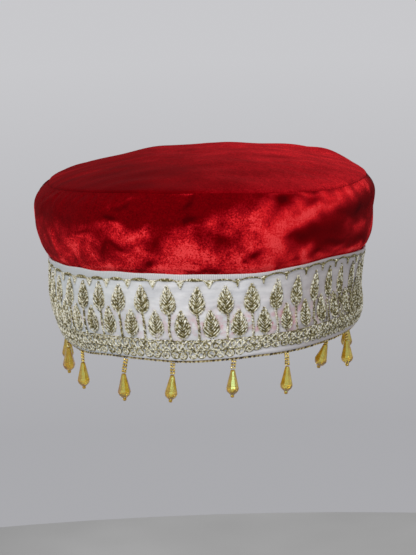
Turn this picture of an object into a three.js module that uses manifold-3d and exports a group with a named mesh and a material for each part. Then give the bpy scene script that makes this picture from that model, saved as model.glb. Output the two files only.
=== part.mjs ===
// Embroidered velvet cap: a soft oval crown of red velvet, a white band round its lower half, a gold
// cord along the rim, and faceted amber drops that hang from the cord on short strings of beads.
// Millimetres, +Z up, front towards -Y. The origin is the centre of the head opening, level with the rim.
import * as THREE from "three";
import { mergeVertices } from "three/addons/utils/BufferGeometryUtils.js";
import Module from "manifold-3d";

const wasm = await Module();
wasm.setup();

// Cloth thicknesses, and the gap between two pieces that touch.
const GAP = 0.3;
const VELVET_WALL = 2;
const BAND_WALL = 1.5;

// Heights of the cap's three edges: the rim, the top of the band, and the seam round the top.
const RIM = 0;
const BAND_TOP = 51.3;
const SEAM = 94;

// Outer surface from the rim up: half-widths from the axis at each height.
const SECTIONS = [
  { height: RIM, left: 87.7, right: 89.8, front: 97.3, back: 97.3 },
  { height: 9, left: 90.8, right: 92.1, front: 100, back: 100 },
  { height: 25.7, left: 94, right: 91.3, front: 103.1, back: 103.1 },
  { height: BAND_TOP, left: 94.8, right: 95.2, front: 106.3, back: 106.3 },
  { height: 60, left: 98.9, right: 98.8, front: 109.4, back: 109.4 },
  { height: 75, left: 101.8, right: 100, front: 112.3, back: 112.3 },
  { height: 88.5, left: 99, right: 100.4, front: 110.8, back: 110.8 },
  { height: SEAM, left: 92.5, right: 96.5, front: 107.5, back: 107.5 },
];

// The soft edges are not level: how far the rim, the band's top and the seam rise at each angle.
const EDGE_LIFTS = [
  { angle: -150, rim: 0, bandTop: 0, seam: -1.9 },
  { angle: -100, rim: 0.5, bandTop: -2.8, seam: -2 },
  { angle: -74, rim: 0.4, bandTop: -2.4, seam: -2.3 },
  { angle: -55, rim: -0.3, bandTop: -1.2, seam: -0.8 },
  { angle: -42, rim: 1.3, bandTop: -0.7, seam: 0.4 },
  { angle: -25, rim: 1.5, bandTop: 0.1, seam: 1.8 },
  { angle: -10, rim: 0.9, bandTop: -0.1, seam: 1.7 },
  { angle: 5, rim: 1.6, bandTop: -0.8, seam: 1.2 },
  { angle: 16, rim: 2.3, bandTop: -1.3, seam: 0.1 },
  { angle: 30, rim: 2.4, bandTop: -0.4, seam: -1.6 },
  { angle: 48, rim: 3.4, bandTop: 1, seam: -3.2 },
  { angle: 75, rim: 4, bandTop: -2.4, seam: -3 },
  { angle: 100, rim: 3.6, bandTop: -3.8, seam: -3 },
  { angle: 128, rim: 2.2, bandTop: -0.5, seam: 0.5 },
  { angle: 160, rim: 0.6, bandTop: 0, seam: 0 },
];

// Heights of the rings of facets on each wall.
const BAND_RINGS = [RIM, 4.5, 9, 17, 25.7, 38, BAND_TOP];
const VELVET_RINGS = [52.8, 54.3, 60, 66, 72, 78, 84, 88.5, 92, SEAM];
const INSIDE_RINGS = [SEAM, 86, 72, 58, BAND_TOP, 25.7, 9, RIM];
const SEGMENTS = 76;

// The velvet swells out over the band's top edge within this height.
const SWELL = 3;

// Broad puffs (positive) and hollows (negative) of the soft side: place, spread round and up, and push outwards.
const SIDE_FOLDS = [
  { angle: -52, height: 84, wide: 13, tall: 10, push: -1.1 },
  { angle: -20, height: 70, wide: 26, tall: 12, push: 0.9 },
  { angle: 16, height: 82, wide: 20, tall: 9, push: -0.8 },
  { angle: 48, height: 68, wide: 20, tall: 11, push: 1 },
  { angle: 116, height: 74, wide: 18, tall: 12, push: -1 },
  { angle: 146, height: 80, wide: 24, tall: 10, push: 1.1 },
  { angle: 184, height: 72, wide: 22, tall: 12, push: -0.9 },
  { angle: 216, height: 78, wide: 20, tall: 10, push: 1 },
  { angle: 240, height: 84, wide: 14, tall: 8, push: -1.1 },
];

// The domed top: its rise over the seam, how full it and its puffs stay towards the seam, and its rings of facets
// as shares of the radius.
const DOME_RISE = 12.5;
const DOME_POWER = 2.5;
const PUFF_POWER = 8;
const TOP_RINGS = [0.2, 0.4, 0.58, 0.74, 0.87, 0.96, 1];
const UNDER_RINGS = [1, 0.87, 0.66, 0.42, 0.2];

// The top's edge is thinner where it turns down into the seam.
const EDGE_WALL = 0.7;
const EDGE_POWER = 16;

// Puffs and hollows of the top: angle, share of the radius, spread, and rise.
const TOP_PUFFS = [
  { angle: 138, share: 0.82, spread: 18, rise: 0.6 },
  { angle: 112, share: 0.86, spread: 13, rise: 3.6 },
  { angle: 126, share: 0.93, spread: 7, rise: -1 },
  { angle: 97, share: 0.93, spread: 7, rise: 0.4 },
  { angle: -118, share: 0.7, spread: 26, rise: -1.8 },
  { angle: -30, share: 0.75, spread: 24, rise: -0.8 },
  { angle: 30, share: 0.6, spread: 22, rise: 0.8 },
];

// The cord along the rim.
const CORD_RADIUS = 0.6;
const CORD_SIDES = 8;
const CORD_INSET = 1.6;

// Bead strings and drops: place round the rim, length of the string, sideways lean of the string and of its
// drop, and swing of both inwards.
const DROPS = [
  { angle: -78, string: 4.2, lean: 0, hang: 0, swing: 0 },
  { angle: -59, string: 6.2, lean: 0, hang: 0, swing: 0 },
  { angle: -33.4, string: 8.4, lean: -13, hang: 0, swing: 0 },
  { angle: -14, string: 6.6, lean: -4, hang: -6.5, swing: 0 },
  { angle: 8.6, string: 5, lean: -8, hang: -3, swing: 0 },
  { angle: 29.2, string: 7.3, lean: 2, hang: -5.5, swing: 0 },
  { angle: 49.2, string: 0.7, lean: 0, hang: 0, swing: 22 },
  { angle: 65.3, string: 4.3, lean: 0, hang: 0, swing: 0 },
  { angle: 105.5, string: 8.5, lean: 0, hang: 0, swing: 0 },
  { angle: 126, string: 5, lean: -4, hang: -2, swing: 0 },
  { angle: 146.6, string: 3, lean: 7, hang: 3, swing: 0 },
  { angle: 167.2, string: 6, lean: 0, hang: 0, swing: 0 },
  { angle: 187.8, string: 4, lean: -4, hang: -4, swing: 0 },
  { angle: 208.4, string: 6.4, lean: 6, hang: 2, swing: 0 },
  { angle: 229, string: 2.6, lean: -1, hang: -1, swing: 0 },
  { angle: 249.6, string: 1.6, lean: 0, hang: 0, swing: 0 },
  { angle: 270, string: 1.4, lean: -2, hang: -2, swing: 0 },
];
const STRING_RADIUS = 1.4;
const STRING_SIDES = 8;
const HALF_FACET = 0.5;

// A drop from its flat top down: long facets to the girdle, then short ones turned by half a facet.
const DROP_FACETS = 8;
const DROP_ROWS = [
  { depth: 0, radius: 1.2, turned: 0 },
  { depth: 0.6, radius: 1.45, turned: 0 },
  { depth: 10.4, radius: 3.8, turned: 0 },
  { depth: 12.4, radius: 3.1, turned: HALF_FACET },
  { depth: 14, radius: 1.3, turned: 0 },
];
const DROP_LENGTH = DROP_ROWS.at(-1).depth;
const STOP_BEAD_RADIUS = 1.1;
const STOP_BEAD_SINK = 0.5;
const STOP_BEAD_SIDES = 10;
const STOP_BEAD_ROWS = 4;

const velvet = new THREE.MeshStandardMaterial({ color: 0xa00c18, roughness: 0.75, metalness: 0 });
const bandCloth = new THREE.MeshStandardMaterial({ color: 0xd8d6da, roughness: 0.85, metalness: 0 });
const goldThread = new THREE.MeshStandardMaterial({ color: 0xa5966a, roughness: 0.35, metalness: 0.8 });
const goldBead = new THREE.MeshStandardMaterial({ color: 0xb8953c, roughness: 0.25, metalness: 0.7 });
const amberGlass = new THREE.MeshStandardMaterial({ color: 0xc79a34, roughness: 0.1, metalness: 0 });

const SECTION_COLUMNS = Object.keys(SECTIONS[0]);
const sectionCurve = new THREE.CubicInterpolant(
  SECTIONS.map((row) => row.height),
  SECTIONS.flatMap((row) => Object.values(row)),
  SECTION_COLUMNS.length,
);

// The row of sizes at any height between the rim and the seam.
function sectionAt(height) {
  const values = sectionCurve.evaluate(height);
  return Object.fromEntries(SECTION_COLUMNS.map((column, i) => [column, values[i]]));
}

// The lifts run on round the cap, so their rows are repeated a full turn either way.
const FULL_TURN = 360;
const liftRows = [-FULL_TURN, 0, FULL_TURN].flatMap((shift) =>
  EDGE_LIFTS.map((row) => ({ ...row, angle: row.angle + shift })),
);
const LIFT_COLUMNS = ["rim", "bandTop", "seam"];
const liftCurve = new THREE.CubicInterpolant(
  liftRows.map((row) => row.angle),
  liftRows.flatMap((row) => LIFT_COLUMNS.map((column) => row[column])),
  LIFT_COLUMNS.length,
);

// How far the cap is lifted at a place: even between its edges.
function liftAt(angle, height) {
  const [rim, bandTop, seam] = liftCurve.evaluate(THREE.MathUtils.radToDeg(angle));
  if (height < BAND_TOP) return THREE.MathUtils.mapLinear(height, RIM, BAND_TOP, rim, bandTop);
  return THREE.MathUtils.mapLinear(height, BAND_TOP, SEAM, bandTop, seam);
}

// The turn from one angle to another, the short way round.
function turnBetween(from, to) {
  return THREE.MathUtils.euclideanModulo(to - from + Math.PI, 2 * Math.PI) - Math.PI;
}

function bell(x) {
  return Math.exp(-x * x);
}

// How far the folds push the soft side out at a place. The band below stays nearly even.
function foldPush(angle, height) {
  const reach = sectionAt(BAND_TOP).front;
  return SIDE_FOLDS.reduce((sum, fold) => {
    const across = (turnBetween(THREE.MathUtils.degToRad(fold.angle), angle) * reach) / fold.wide;
    const along = (height - fold.height) / fold.tall;
    return sum + fold.push * bell(across) * bell(along);
  }, 0);
}

// A point of the cap's side at an angle from the front (positive towards +X), some way inside its outer surface.
function sidePoint(angle, height, inset) {
  const row = sectionAt(height);
  const across = Math.sin(angle);
  const ahead = Math.cos(angle);
  const out = foldPush(angle, height) - inset;
  const halfWidth = (across > 0 ? row.right : row.left) + out;
  const halfDepth = (ahead > 0 ? row.front : row.back) + out;
  return new THREE.Vector3(across * halfWidth, -ahead * halfDepth, height + liftAt(angle, height));
}

// The velvet lies inside the band, and swells out over the band's top edge.
function velvetInset(height) {
  const under = 1 - THREE.MathUtils.smoothstep(height, BAND_TOP, BAND_TOP + SWELL);
  return (BAND_WALL + GAP) * under;
}

const ANGLES = Array.from({ length: SEGMENTS }, (_, i) => (2 * Math.PI * i) / SEGMENTS);
const SEAM_MEAN = ANGLES.reduce((sum, angle) => sum + sidePoint(angle, SEAM, 0).z, 0) / SEGMENTS;

function geometryOf(points, index) {
  const geometry = new THREE.BufferGeometry().setFromPoints(points);
  geometry.setIndex(index);
  geometry.computeVertexNormals();
  return geometry;
}

// Triangles between two neighbouring columns of points, with the columns of a closed round joined up.
function stripIndex(columns, rows, rowPairs, first = 0) {
  const index = [];
  for (let i = 0; i < columns; i++) {
    const here = first + i * rows;
    const next = first + ((i + 1) % columns) * rows;
    for (const [low, high] of rowPairs) {
      index.push(here + low, next + low, next + high);
      index.push(here + low, next + high, here + high);
    }
  }
  return index;
}

// A ring whose cut edge at each angle is a closed loop of points: up the outside, then down the inside.
function ringGeometry(loopAt) {
  const loops = ANGLES.map(loopAt);
  const rows = loops[0].length;
  const rowPairs = loops[0].map((_, row) => [row, (row + 1) % rows]);
  return geometryOf(loops.flat(), stripIndex(SEGMENTS, rows, rowPairs));
}

// A closed solid between two end points, through rows of points that run from the first end to the last.
function cappedGeometry(firstEnd, lastEnd, columnsOfPoints) {
  const columns = columnsOfPoints.length;
  const rows = columnsOfPoints[0].length;
  const rowPairs = columnsOfPoints[0].slice(1).map((_, row) => [row, row + 1]);
  const points = [...columnsOfPoints.flat(), firstEnd, lastEnd];
  const index = stripIndex(columns, rows, rowPairs);
  const firstId = columns * rows;
  for (let i = 0; i < columns; i++) {
    const next = (i + 1) % columns;
    index.push(firstId, next * rows, i * rows);
    index.push(firstId + 1, i * rows + rows - 1, next * rows + rows - 1);
  }
  return geometryOf(points, index);
}

function crownSide() {
  return ringGeometry((angle) => [
    ...BAND_RINGS.map((height) => sidePoint(angle, height, velvetInset(height))),
    ...VELVET_RINGS.map((height) => sidePoint(angle, height, velvetInset(height))),
    ...INSIDE_RINGS.map((height) => sidePoint(angle, height, velvetInset(height) + VELVET_WALL)),
  ]);
}

function band() {
  return ringGeometry((angle) => [
    ...BAND_RINGS.map((height) => sidePoint(angle, height, 0)),
    ...BAND_RINGS.toReversed().map((height) => sidePoint(angle, height, BAND_WALL)),
  ]);
}

// Rise of the top's puffs at a place given in millimetres from the axis.
function puffRise(x, y) {
  const edge = SECTIONS.at(-1);
  return TOP_PUFFS.reduce((sum, puff) => {
    const angle = THREE.MathUtils.degToRad(puff.angle);
    const dx = x - puff.share * edge.right * Math.sin(angle);
    const dy = y + puff.share * edge.front * Math.cos(angle);
    return sum + puff.rise * bell(Math.hypot(dx, dy) / puff.spread);
  }, 0);
}

// A point of the domed top, from the middle (share 0) to the seam (share 1), some way above the side's edge.
function topPoint(angle, share, above) {
  const seam = sidePoint(angle, SEAM, 0);
  const base = THREE.MathUtils.lerp(SEAM_MEAN, seam.z, share * share);
  const x = seam.x * share;
  const y = seam.y * share;
  const rise = DOME_RISE * (1 - share ** DOME_POWER) + puffRise(x, y) * (1 - share ** PUFF_POWER);
  return new THREE.Vector3(x, y, base + rise + GAP + above);
}

function topWall(share) {
  return THREE.MathUtils.lerp(EDGE_WALL, VELVET_WALL, Math.sqrt(1 - share ** EDGE_POWER));
}

function crownTop() {
  const columns = ANGLES.map((angle) => [
    ...UNDER_RINGS.toReversed().map((share) => topPoint(angle, share, 0)),
    ...TOP_RINGS.toReversed().map((share) => topPoint(angle, share, topWall(share))),
  ]);
  return cappedGeometry(topPoint(0, 0, 0), topPoint(0, 0, VELVET_WALL), columns);
}

// The middle of the rim cord, just under the band's lower edge.
function cordPoint(angle) {
  const point = sidePoint(angle, RIM, CORD_INSET);
  point.z -= GAP + CORD_RADIUS;
  return point;
}

function rimCord() {
  return ringGeometry((angle) => {
    const outward = new THREE.Vector3(Math.sin(angle), -Math.cos(angle), 0);
    return Array.from({ length: CORD_SIDES }, (_, side) => {
      const turn = (2 * Math.PI * (side + HALF_FACET)) / CORD_SIDES;
      const point = cordPoint(angle).addScaledVector(outward, CORD_RADIUS * Math.cos(turn));
      point.z += CORD_RADIUS * Math.sin(turn);
      return point;
    });
  });
}

function polygonPoints(sides, radius, turned) {
  return Array.from({ length: sides }, (_, i) => {
    const turn = (2 * Math.PI * (i + turned)) / sides;
    return new THREE.Vector2(radius * Math.cos(turn), radius * Math.sin(turn));
  });
}

// A tube that hangs down from the origin.
function beadString(length) {
  const outline = new THREE.Shape(polygonPoints(STRING_SIDES, STRING_RADIUS, HALF_FACET));
  const geometry = new THREE.ExtrudeGeometry(outline, { depth: length, steps: 1, bevelEnabled: false });
  return geometry.translate(0, 0, -length);
}

// Numbers for each corner of a solid: x, y and z.
const COORDINATES = 3;

function solidOf(geometry) {
  const bare = geometry.clone();
  bare.deleteAttribute("normal");
  bare.deleteAttribute("uv");
  const merged = mergeVertices(bare);
  const vertProperties = merged.getAttribute("position").array;
  const triVerts = new Uint32Array(merged.index.array);
  return new wasm.Manifold(new wasm.Mesh({ numProp: COORDINATES, vertProperties, triVerts }));
}

function geometryOfSolid(solid) {
  const { vertProperties, triVerts } = solid.getMesh();
  const geometry = new THREE.BufferGeometry();
  geometry.setAttribute("position", new THREE.BufferAttribute(vertProperties, COORDINATES));
  geometry.setIndex(new THREE.BufferAttribute(triVerts, 1));
  geometry.computeVertexNormals();
  return geometry;
}

// A faceted teardrop that hangs down from the origin, joined to the stop bead at its tip.
function drop() {
  const rings = DROP_ROWS.toReversed().map(({ depth, radius, turned }) =>
    polygonPoints(DROP_FACETS, radius, turned).map((p) => new THREE.Vector3(p.x, p.y, -depth)),
  );
  const columns = rings[0].map((_, i) => rings.map((ring) => ring[i]));
  const tip = new THREE.Vector3(0, 0, -DROP_LENGTH);
  const teardrop = cappedGeometry(tip, new THREE.Vector3(), columns);
  const stopBead = new THREE.SphereGeometry(STOP_BEAD_RADIUS, STOP_BEAD_SIDES, STOP_BEAD_ROWS);
  stopBead.rotateX(Math.PI / 2);
  stopBead.translate(0, 0, -DROP_LENGTH - STOP_BEAD_RADIUS + STOP_BEAD_SINK);
  return geometryOfSolid(solidOf(teardrop).add(solidOf(stopBead)));
}

function named(name, geometry, material) {
  const mesh = new THREE.Mesh(geometry, material);
  mesh.name = name;
  return mesh;
}

const cap = new THREE.Group();
cap.add(
  named("crown_top", crownTop(), velvet),
  named("crown_side", crownSide(), velvet),
  named("band", band(), bandCloth),
  named("rim_cord", rimCord(), goldThread),
);

const dropGeometry = drop();
DROPS.forEach(({ angle, string, ...tilts }, i) => {
  const number = String(i + 1).padStart(2, "0");
  const turn = THREE.MathUtils.degToRad(angle);
  const lean = THREE.MathUtils.degToRad(tilts.lean);
  const bend = THREE.MathUtils.degToRad(tilts.hang - tilts.lean);
  const swing = THREE.MathUtils.degToRad(tilts.swing);
  const raisedEdge = STRING_RADIUS * Math.hypot(Math.sin(lean), Math.sin(swing));
  const bentEdge = DROP_ROWS[0].radius * Math.abs(Math.sin(bend));
  const hanger = new THREE.Group();
  hanger.position.copy(cordPoint(turn));
  hanger.position.z -= CORD_RADIUS + GAP + raisedEdge;
  hanger.rotation.set(swing, -lean, turn, "ZYX");
  const beads = named(`bead_string_${number}`, beadString(string), goldBead);
  const pendant = named(`drop_${number}`, dropGeometry, amberGlass);
  pendant.position.z = -string - GAP - bentEdge;
  pendant.rotation.y = -bend;
  hanger.add(beads, pendant);
  cap.add(hanger);
});

export default cap;
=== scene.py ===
"""Looks of the embroidered velvet cap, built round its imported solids.

Lengths are in millimetres until a mesh is made. Angles run round the cap from its front, positive towards +X.
"""

import math

import bmesh
import bpy
import numpy as np
from mathutils import Matrix, Vector


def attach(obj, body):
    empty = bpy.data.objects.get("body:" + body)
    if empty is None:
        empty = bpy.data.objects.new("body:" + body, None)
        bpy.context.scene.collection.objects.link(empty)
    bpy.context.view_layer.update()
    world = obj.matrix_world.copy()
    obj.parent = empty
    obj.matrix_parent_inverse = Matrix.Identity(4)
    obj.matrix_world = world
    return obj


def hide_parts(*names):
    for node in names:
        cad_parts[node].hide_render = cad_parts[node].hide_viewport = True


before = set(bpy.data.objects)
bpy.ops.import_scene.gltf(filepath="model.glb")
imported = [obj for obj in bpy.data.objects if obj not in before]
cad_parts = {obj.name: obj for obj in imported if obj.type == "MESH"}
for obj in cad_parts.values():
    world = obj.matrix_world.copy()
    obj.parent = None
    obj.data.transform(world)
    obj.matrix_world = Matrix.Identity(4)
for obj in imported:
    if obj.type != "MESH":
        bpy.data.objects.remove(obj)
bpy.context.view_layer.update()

MM = 0.001
TURN = 2 * math.pi

# The cap's form, as in its solids. The side swells out over the band within a short height.
GAP = 0.3
VELVET_WALL = 2.0
BAND_WALL = 1.5
RIM = 0.0
BAND_TOP = 51.3
SEAM = 94.0
SWELL = 3.0

# Half-widths of the outer surface: height, left, right, front, back.
SECTIONS = np.array([
    (RIM, 87.7, 89.8, 97.3, 97.3),
    (9, 90.8, 92.1, 100, 100),
    (25.7, 94, 91.3, 103.1, 103.1),
    (BAND_TOP, 94.8, 95.2, 106.3, 106.3),
    (60, 98.9, 98.8, 109.4, 109.4),
    (75, 101.8, 100, 112.3, 112.3),
    (88.5, 99, 100.4, 110.8, 110.8),
    (SEAM, 92.5, 96.5, 107.5, 107.5),
])

# Rise of the soft edges: angle, rim, band top, seam.
EDGE_LIFTS = np.array([
    (-150, 0, 0, -1.9),
    (-100, 0.5, -2.8, -2),
    (-74, 0.4, -2.4, -2.3),
    (-55, -0.3, -1.2, -0.8),
    (-42, 1.3, -0.7, 0.4),
    (-25, 1.5, 0.1, 1.8),
    (-10, 0.9, -0.1, 1.7),
    (5, 1.6, -0.8, 1.2),
    (16, 2.3, -1.3, 0.1),
    (30, 2.4, -0.4, -1.6),
    (48, 3.4, 1, -3.2),
    (75, 4, -2.4, -3),
    (100, 3.6, -3.8, -3),
    (128, 2.2, -0.5, 0.5),
    (160, 0.6, 0, 0),
])
LIFT_TURNS = np.concatenate([EDGE_LIFTS + (shift, 0, 0, 0) for shift in (-360, 0, 360)])

# Broad puffs and hollows of the side: angle, height, spread round, spread up, push outwards.
SIDE_FOLDS = [
    (-52, 84, 13, 10, -1.1),
    (-20, 70, 26, 12, 0.9),
    (16, 82, 20, 9, -0.8),
    (48, 68, 20, 11, 1),
    (116, 74, 18, 12, -1),
    (146, 80, 24, 10, 1.1),
    (184, 72, 22, 12, -0.9),
    (216, 78, 20, 10, 1),
    (240, 84, 14, 8, -1.1),
]
FOLD_REACH = 106.3

# The domed top, and its puffs and hollows: angle, share of the radius, spread, rise.
DOME_RISE = 12.5
DOME_POWER = 2.5
PUFF_POWER = 8
TOP_PUFFS = [
    (138, 0.82, 18, 0.6),
    (112, 0.86, 13, 3.6),
    (126, 0.93, 7, -1),
    (97, 0.93, 7, 0.4),
    (-118, 0.7, 26, -1.8),
    (-30, 0.75, 24, -0.8),
    (30, 0.6, 22, 0.8),
]

# The rim cord, and the drops on it: angle, length of the string, lean of string and of drop, swing inwards.
CORD_RADIUS = 0.6
CORD_INSET = 1.6
STRING_RADIUS = 1.4
DROPS = [
    (-78, 4.2, 0, 0, 0),
    (-59, 6.2, 0, 0, 0),
    (-33.4, 8.4, -13, 0, 0),
    (-14, 6.6, -4, -6.5, 0),
    (8.6, 5, -8, -3, 0),
    (29.2, 7.3, 2, -5.5, 0),
    (49.2, 0.7, 0, 0, 22),
    (65.3, 4.3, 0, 0, 0),
    (105.5, 8.5, 0, 0, 0),
    (126, 5, -4, -2, 0),
    (146.6, 3, 7, 3, 0),
    (167.2, 6, 0, 0, 0),
    (187.8, 4, -4, -4, 0),
    (208.4, 6.4, 6, 2, 0),
    (229, 2.6, -1, -1, 0),
    (249.6, 1.6, 0, 0, 0),
    (270, 1.4, -2, -2, 0),
]

# Soft unevenness: size, seed, number of waves, their range along the first coordinate and reach along the
# second, and whether they are whole round the cap.
WAVES = {
    "light_shift_round": (1.3, 1, 24, (8, 40), 0.45, True),
    "light_shift_up": (1.2, 3, 24, (8, 40), 0.45, True),
    "light_fine": (0.05, 5, 24, (20, 60), 0.6, True),
    "top_streaks": (0.02, 6, 18, (0.08, 0.5), 0.05, False),
    "top_clouds": (0.025, 7, 20, (0.05, 0.3), 0.3, False),
    "gathered_places": (1.0, 17, 10, (4, 16), 0, True),
    "gathers": (0.45, 8, 14, (45, 120), 0.05, True),
    "puckers": (0.4, 9, 14, (40, 110), 0.05, True),
    "crumple": (0.16, 10, 24, (8, 30), 0.25, True),
    "top_soft": (0.3, 21, 20, (0.03, 0.16), 0.16, False),
    "top_wrinkles": (0.12, 22, 18, (0.15, 0.5), 0.08, False),
    "slack": (0.17, 14, 20, (20, 70), 0.5, True),
    "cloth_creases": (0.11, 15, 20, (15, 60), 2.4, True),
    "strip_wander": (0.15, 16, 12, (5, 24), 0, True),
    "braid": (0.3, 54, 20, (60, 300), 0, True),
    "ply": (0.08, 62, 16, (40, 300), 0, True),
}


def cubic(x, xs, ys):
    """A smooth curve through a table, whose slope at each row is that between its neighbours."""
    x = np.clip(x, xs[0], xs[-1])
    i = np.clip(np.searchsorted(xs, x, side="right"), 1, len(xs) - 1)
    before = np.where(i > 1, i - 2, i)
    after = np.where(i < len(xs) - 1, i + 1, i - 1)
    start, end = xs[i - 1], xs[i]
    half = (end - start) / 2
    lead, trail = half / (start - xs[before]), half / (xs[after] - end)
    p = (x - start) / (end - start)
    share_before = -lead * p**3 + 2 * lead * p**2 - lead * p
    share_start = (1 + lead) * p**3 + (-1.5 - 2 * lead) * p**2 + (lead - 0.5) * p + 1
    share_end = (-1 - trail) * p**3 + (1.5 + trail) * p**2 + 0.5 * p
    share_after = trail * p**3 - trail * p**2
    return share_before * ys[before] + share_start * ys[i - 1] + share_end * ys[i] + share_after * ys[after]


def smoothstep(x, low, high):
    t = np.clip((x - low) / (high - low), 0, 1)
    return t * t * (3 - 2 * t)


def bell(x, wide):
    """A soft hump, 1 at nought and fading to both sides."""
    return np.exp(-((x / wide) ** 2))


def round_angles(count):
    return np.arange(count) * TURN / count


def turn_from(degrees, angle):
    """The turn from an angle in degrees to others, the short way round."""
    return (angle - math.radians(degrees) + math.pi) % TURN - math.pi


def uneven(name, p, q=0.0, copy=0):
    """Soft unevenness by its name: a sum of waves of random direction."""
    size, seed, count, p_range, q_reach, whole = WAVES[name]
    rng = np.random.default_rng(seed + copy)
    total = np.zeros(np.broadcast(p, q).shape)
    for _ in range(count):
        along = rng.uniform(*p_range) * rng.choice((-1, 1))
        if whole:
            along = round(along)
        total += np.sin(along * p + rng.uniform(-q_reach, q_reach) * q + rng.uniform(0, TURN))
    return size * total * math.sqrt(2 / count)


def lift(angle, height):
    degrees = np.degrees((angle + math.pi) % TURN - math.pi)
    rim, top, seam = (cubic(degrees, LIFT_TURNS[:, 0], column) for column in LIFT_TURNS[:, 1:].T)
    low = rim + (top - rim) * height / BAND_TOP
    high = top + (seam - top) * (height - BAND_TOP) / (SEAM - BAND_TOP)
    return np.where(height < BAND_TOP, low, high)


def fold_push(angle, height):
    total = np.zeros_like(angle)
    for degrees, middle, wide, tall, push in SIDE_FOLDS:
        across = turn_from(degrees, angle) * FOLD_REACH
        total += push * bell(across, wide) * bell(height - middle, tall)
    return total


def side_point(angle, height, inset=0.0):
    """Points of the cap's side, some way inside its outer surface."""
    angle, height, inset = (a.astype(float) for a in np.broadcast_arrays(angle, height, inset))
    left, right, front, back = (cubic(height, SECTIONS[:, 0], column) for column in SECTIONS[:, 1:].T)
    across, ahead = np.sin(angle), np.cos(angle)
    out = fold_push(angle, height) - inset
    x = across * (np.where(across > 0, right, left) + out)
    y = -ahead * (np.where(ahead > 0, front, back) + out)
    return np.stack([x, y, height + lift(angle, height)], -1)


# The seam's mean height, at the corners of the solid top.
SOLID_SEGMENTS = 76
SEAM_MEAN = side_point(round_angles(SOLID_SEGMENTS), SEAM)[:, 2].mean()
TOP_ACROSS, TOP_AHEAD = SECTIONS[-1, 2:4]


def top_point(angle, share, above=0.0):
    """Points of the domed top, from its middle (share 0) to the seam (share 1)."""
    angle, share = (a.astype(float) for a in np.broadcast_arrays(angle, share))
    seam = side_point(angle, SEAM)
    base = SEAM_MEAN + (seam[..., 2] - SEAM_MEAN) * share**2
    x, y = seam[..., 0] * share, seam[..., 1] * share
    puffs = np.zeros_like(x)
    for degrees, place, spread, rise in TOP_PUFFS:
        dx = x - place * TOP_ACROSS * math.sin(math.radians(degrees))
        dy = y + place * TOP_AHEAD * math.cos(math.radians(degrees))
        puffs += rise * bell(np.hypot(dx, dy), spread)
    rise = DOME_RISE * (1 - share**DOME_POWER) + puffs * (1 - share**PUFF_POWER)
    return np.stack([x, y, base + rise + GAP + above], -1)


# Arc along the band, measured at the middle of the upper leaves from the front.
ARC_HEIGHT = 34.0
ARC_STEPS = 2880
ARC_ANGLES = np.linspace(-math.pi, math.pi, ARC_STEPS + 1)
arc_line = side_point(ARC_ANGLES, ARC_HEIGHT)[:, :2]
ARC = np.concatenate([[0], np.cumsum(np.linalg.norm(np.diff(arc_line, axis=0), axis=1))])
ARC_LENGTH = ARC[-1]
ARC -= np.interp(0, ARC_ANGLES, ARC)

# Steps round and up for the cloth's directions.
TURN_STEP = 1e-3
HEIGHT_STEP = 0.1


def from_front(arc):
    """An arc brought to between half a round left and half a round right of the front."""
    return (arc + ARC_LENGTH / 2) % ARC_LENGTH - ARC_LENGTH / 2


def angle_at(arc):
    return np.interp((arc - ARC[0]) % ARC_LENGTH + ARC[0], ARC, ARC_ANGLES)


def outward(angle, height):
    """Directions square to the cap's side."""
    along = side_point(angle + TURN_STEP, height) - side_point(angle - TURN_STEP, height)
    up = side_point(angle, height + HEIGHT_STEP) - side_point(angle, height - HEIGHT_STEP)
    normal = np.cross(along, up)
    return normal / np.linalg.norm(normal, axis=-1, keepdims=True)


def band_point(arc, height, out):
    """Points over the band: along the arc, up the cloth, and out from its surface."""
    angle = angle_at(arc)
    return side_point(angle, height) + outward(angle, height) * out[..., None]


# Mesh making.
def add_piece(name, mesh, matrix=Matrix()):
    made = bpy.data.objects.new(name, mesh)
    bpy.context.scene.collection.objects.link(made)
    made.matrix_world = matrix
    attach(made, "root")
    return made


def new_object(name, points, quads, material, layers, tris=()):
    """A mesh of points in millimetres, with number layers on its points, that rides on the cap."""
    quads, tris = np.reshape(quads, (-1, 4)), np.reshape(tris, (-1, 3)).astype(int)
    sizes = np.concatenate([np.full(len(quads), 4), np.full(len(tris), 3)])
    mesh = bpy.data.meshes.new(name)
    mesh.vertices.add(points.size // 3)
    mesh.vertices.foreach_set("co", (points * MM).ravel())
    mesh.loops.add(int(sizes.sum()))
    mesh.loops.foreach_set("vertex_index", np.concatenate([quads.ravel(), tris.ravel()]))
    mesh.polygons.add(len(sizes))
    mesh.polygons.foreach_set("loop_start", np.concatenate([[0], np.cumsum(sizes)[:-1]]))
    mesh.polygons.foreach_set("use_smooth", np.full(len(sizes), True))
    mesh.update(calc_edges=True)
    for label, values in layers.items():
        mesh.attributes.new(label, "FLOAT", "POINT").data.foreach_set("value", values.ravel())
    mesh.materials.append(material)
    return add_piece(name, mesh)


def round_quads(columns, rows, closed):
    """Quads of a grid whose columns close round, and its rows too if closed. Rows run up the outside."""
    column, row = np.meshgrid(np.arange(columns), np.arange(rows if closed else rows - 1), indexing="ij")
    beside, above = (column + 1) % columns, (row + 1) % rows
    corners = (column * rows + row, beside * rows + row, beside * rows + above, column * rows + above)
    return np.stack(corners, -1).reshape(-1, 4)


def mirrored(rows):
    """A profile from its upper half."""
    return rows + [(radius, -height) for radius, height in reversed(rows)]


def lathe(profile, sides):
    """Points and quads of a ring with that cut edge round the upright axis."""
    turn = round_angles(sides)[:, None]
    radius, height = np.array(profile).T
    points = np.stack([radius * np.cos(turn), radius * np.sin(turn), height + 0 * turn], -1)
    return points.reshape(-1, 3), round_quads(sides, len(profile), True)[:, ::-1]


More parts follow.
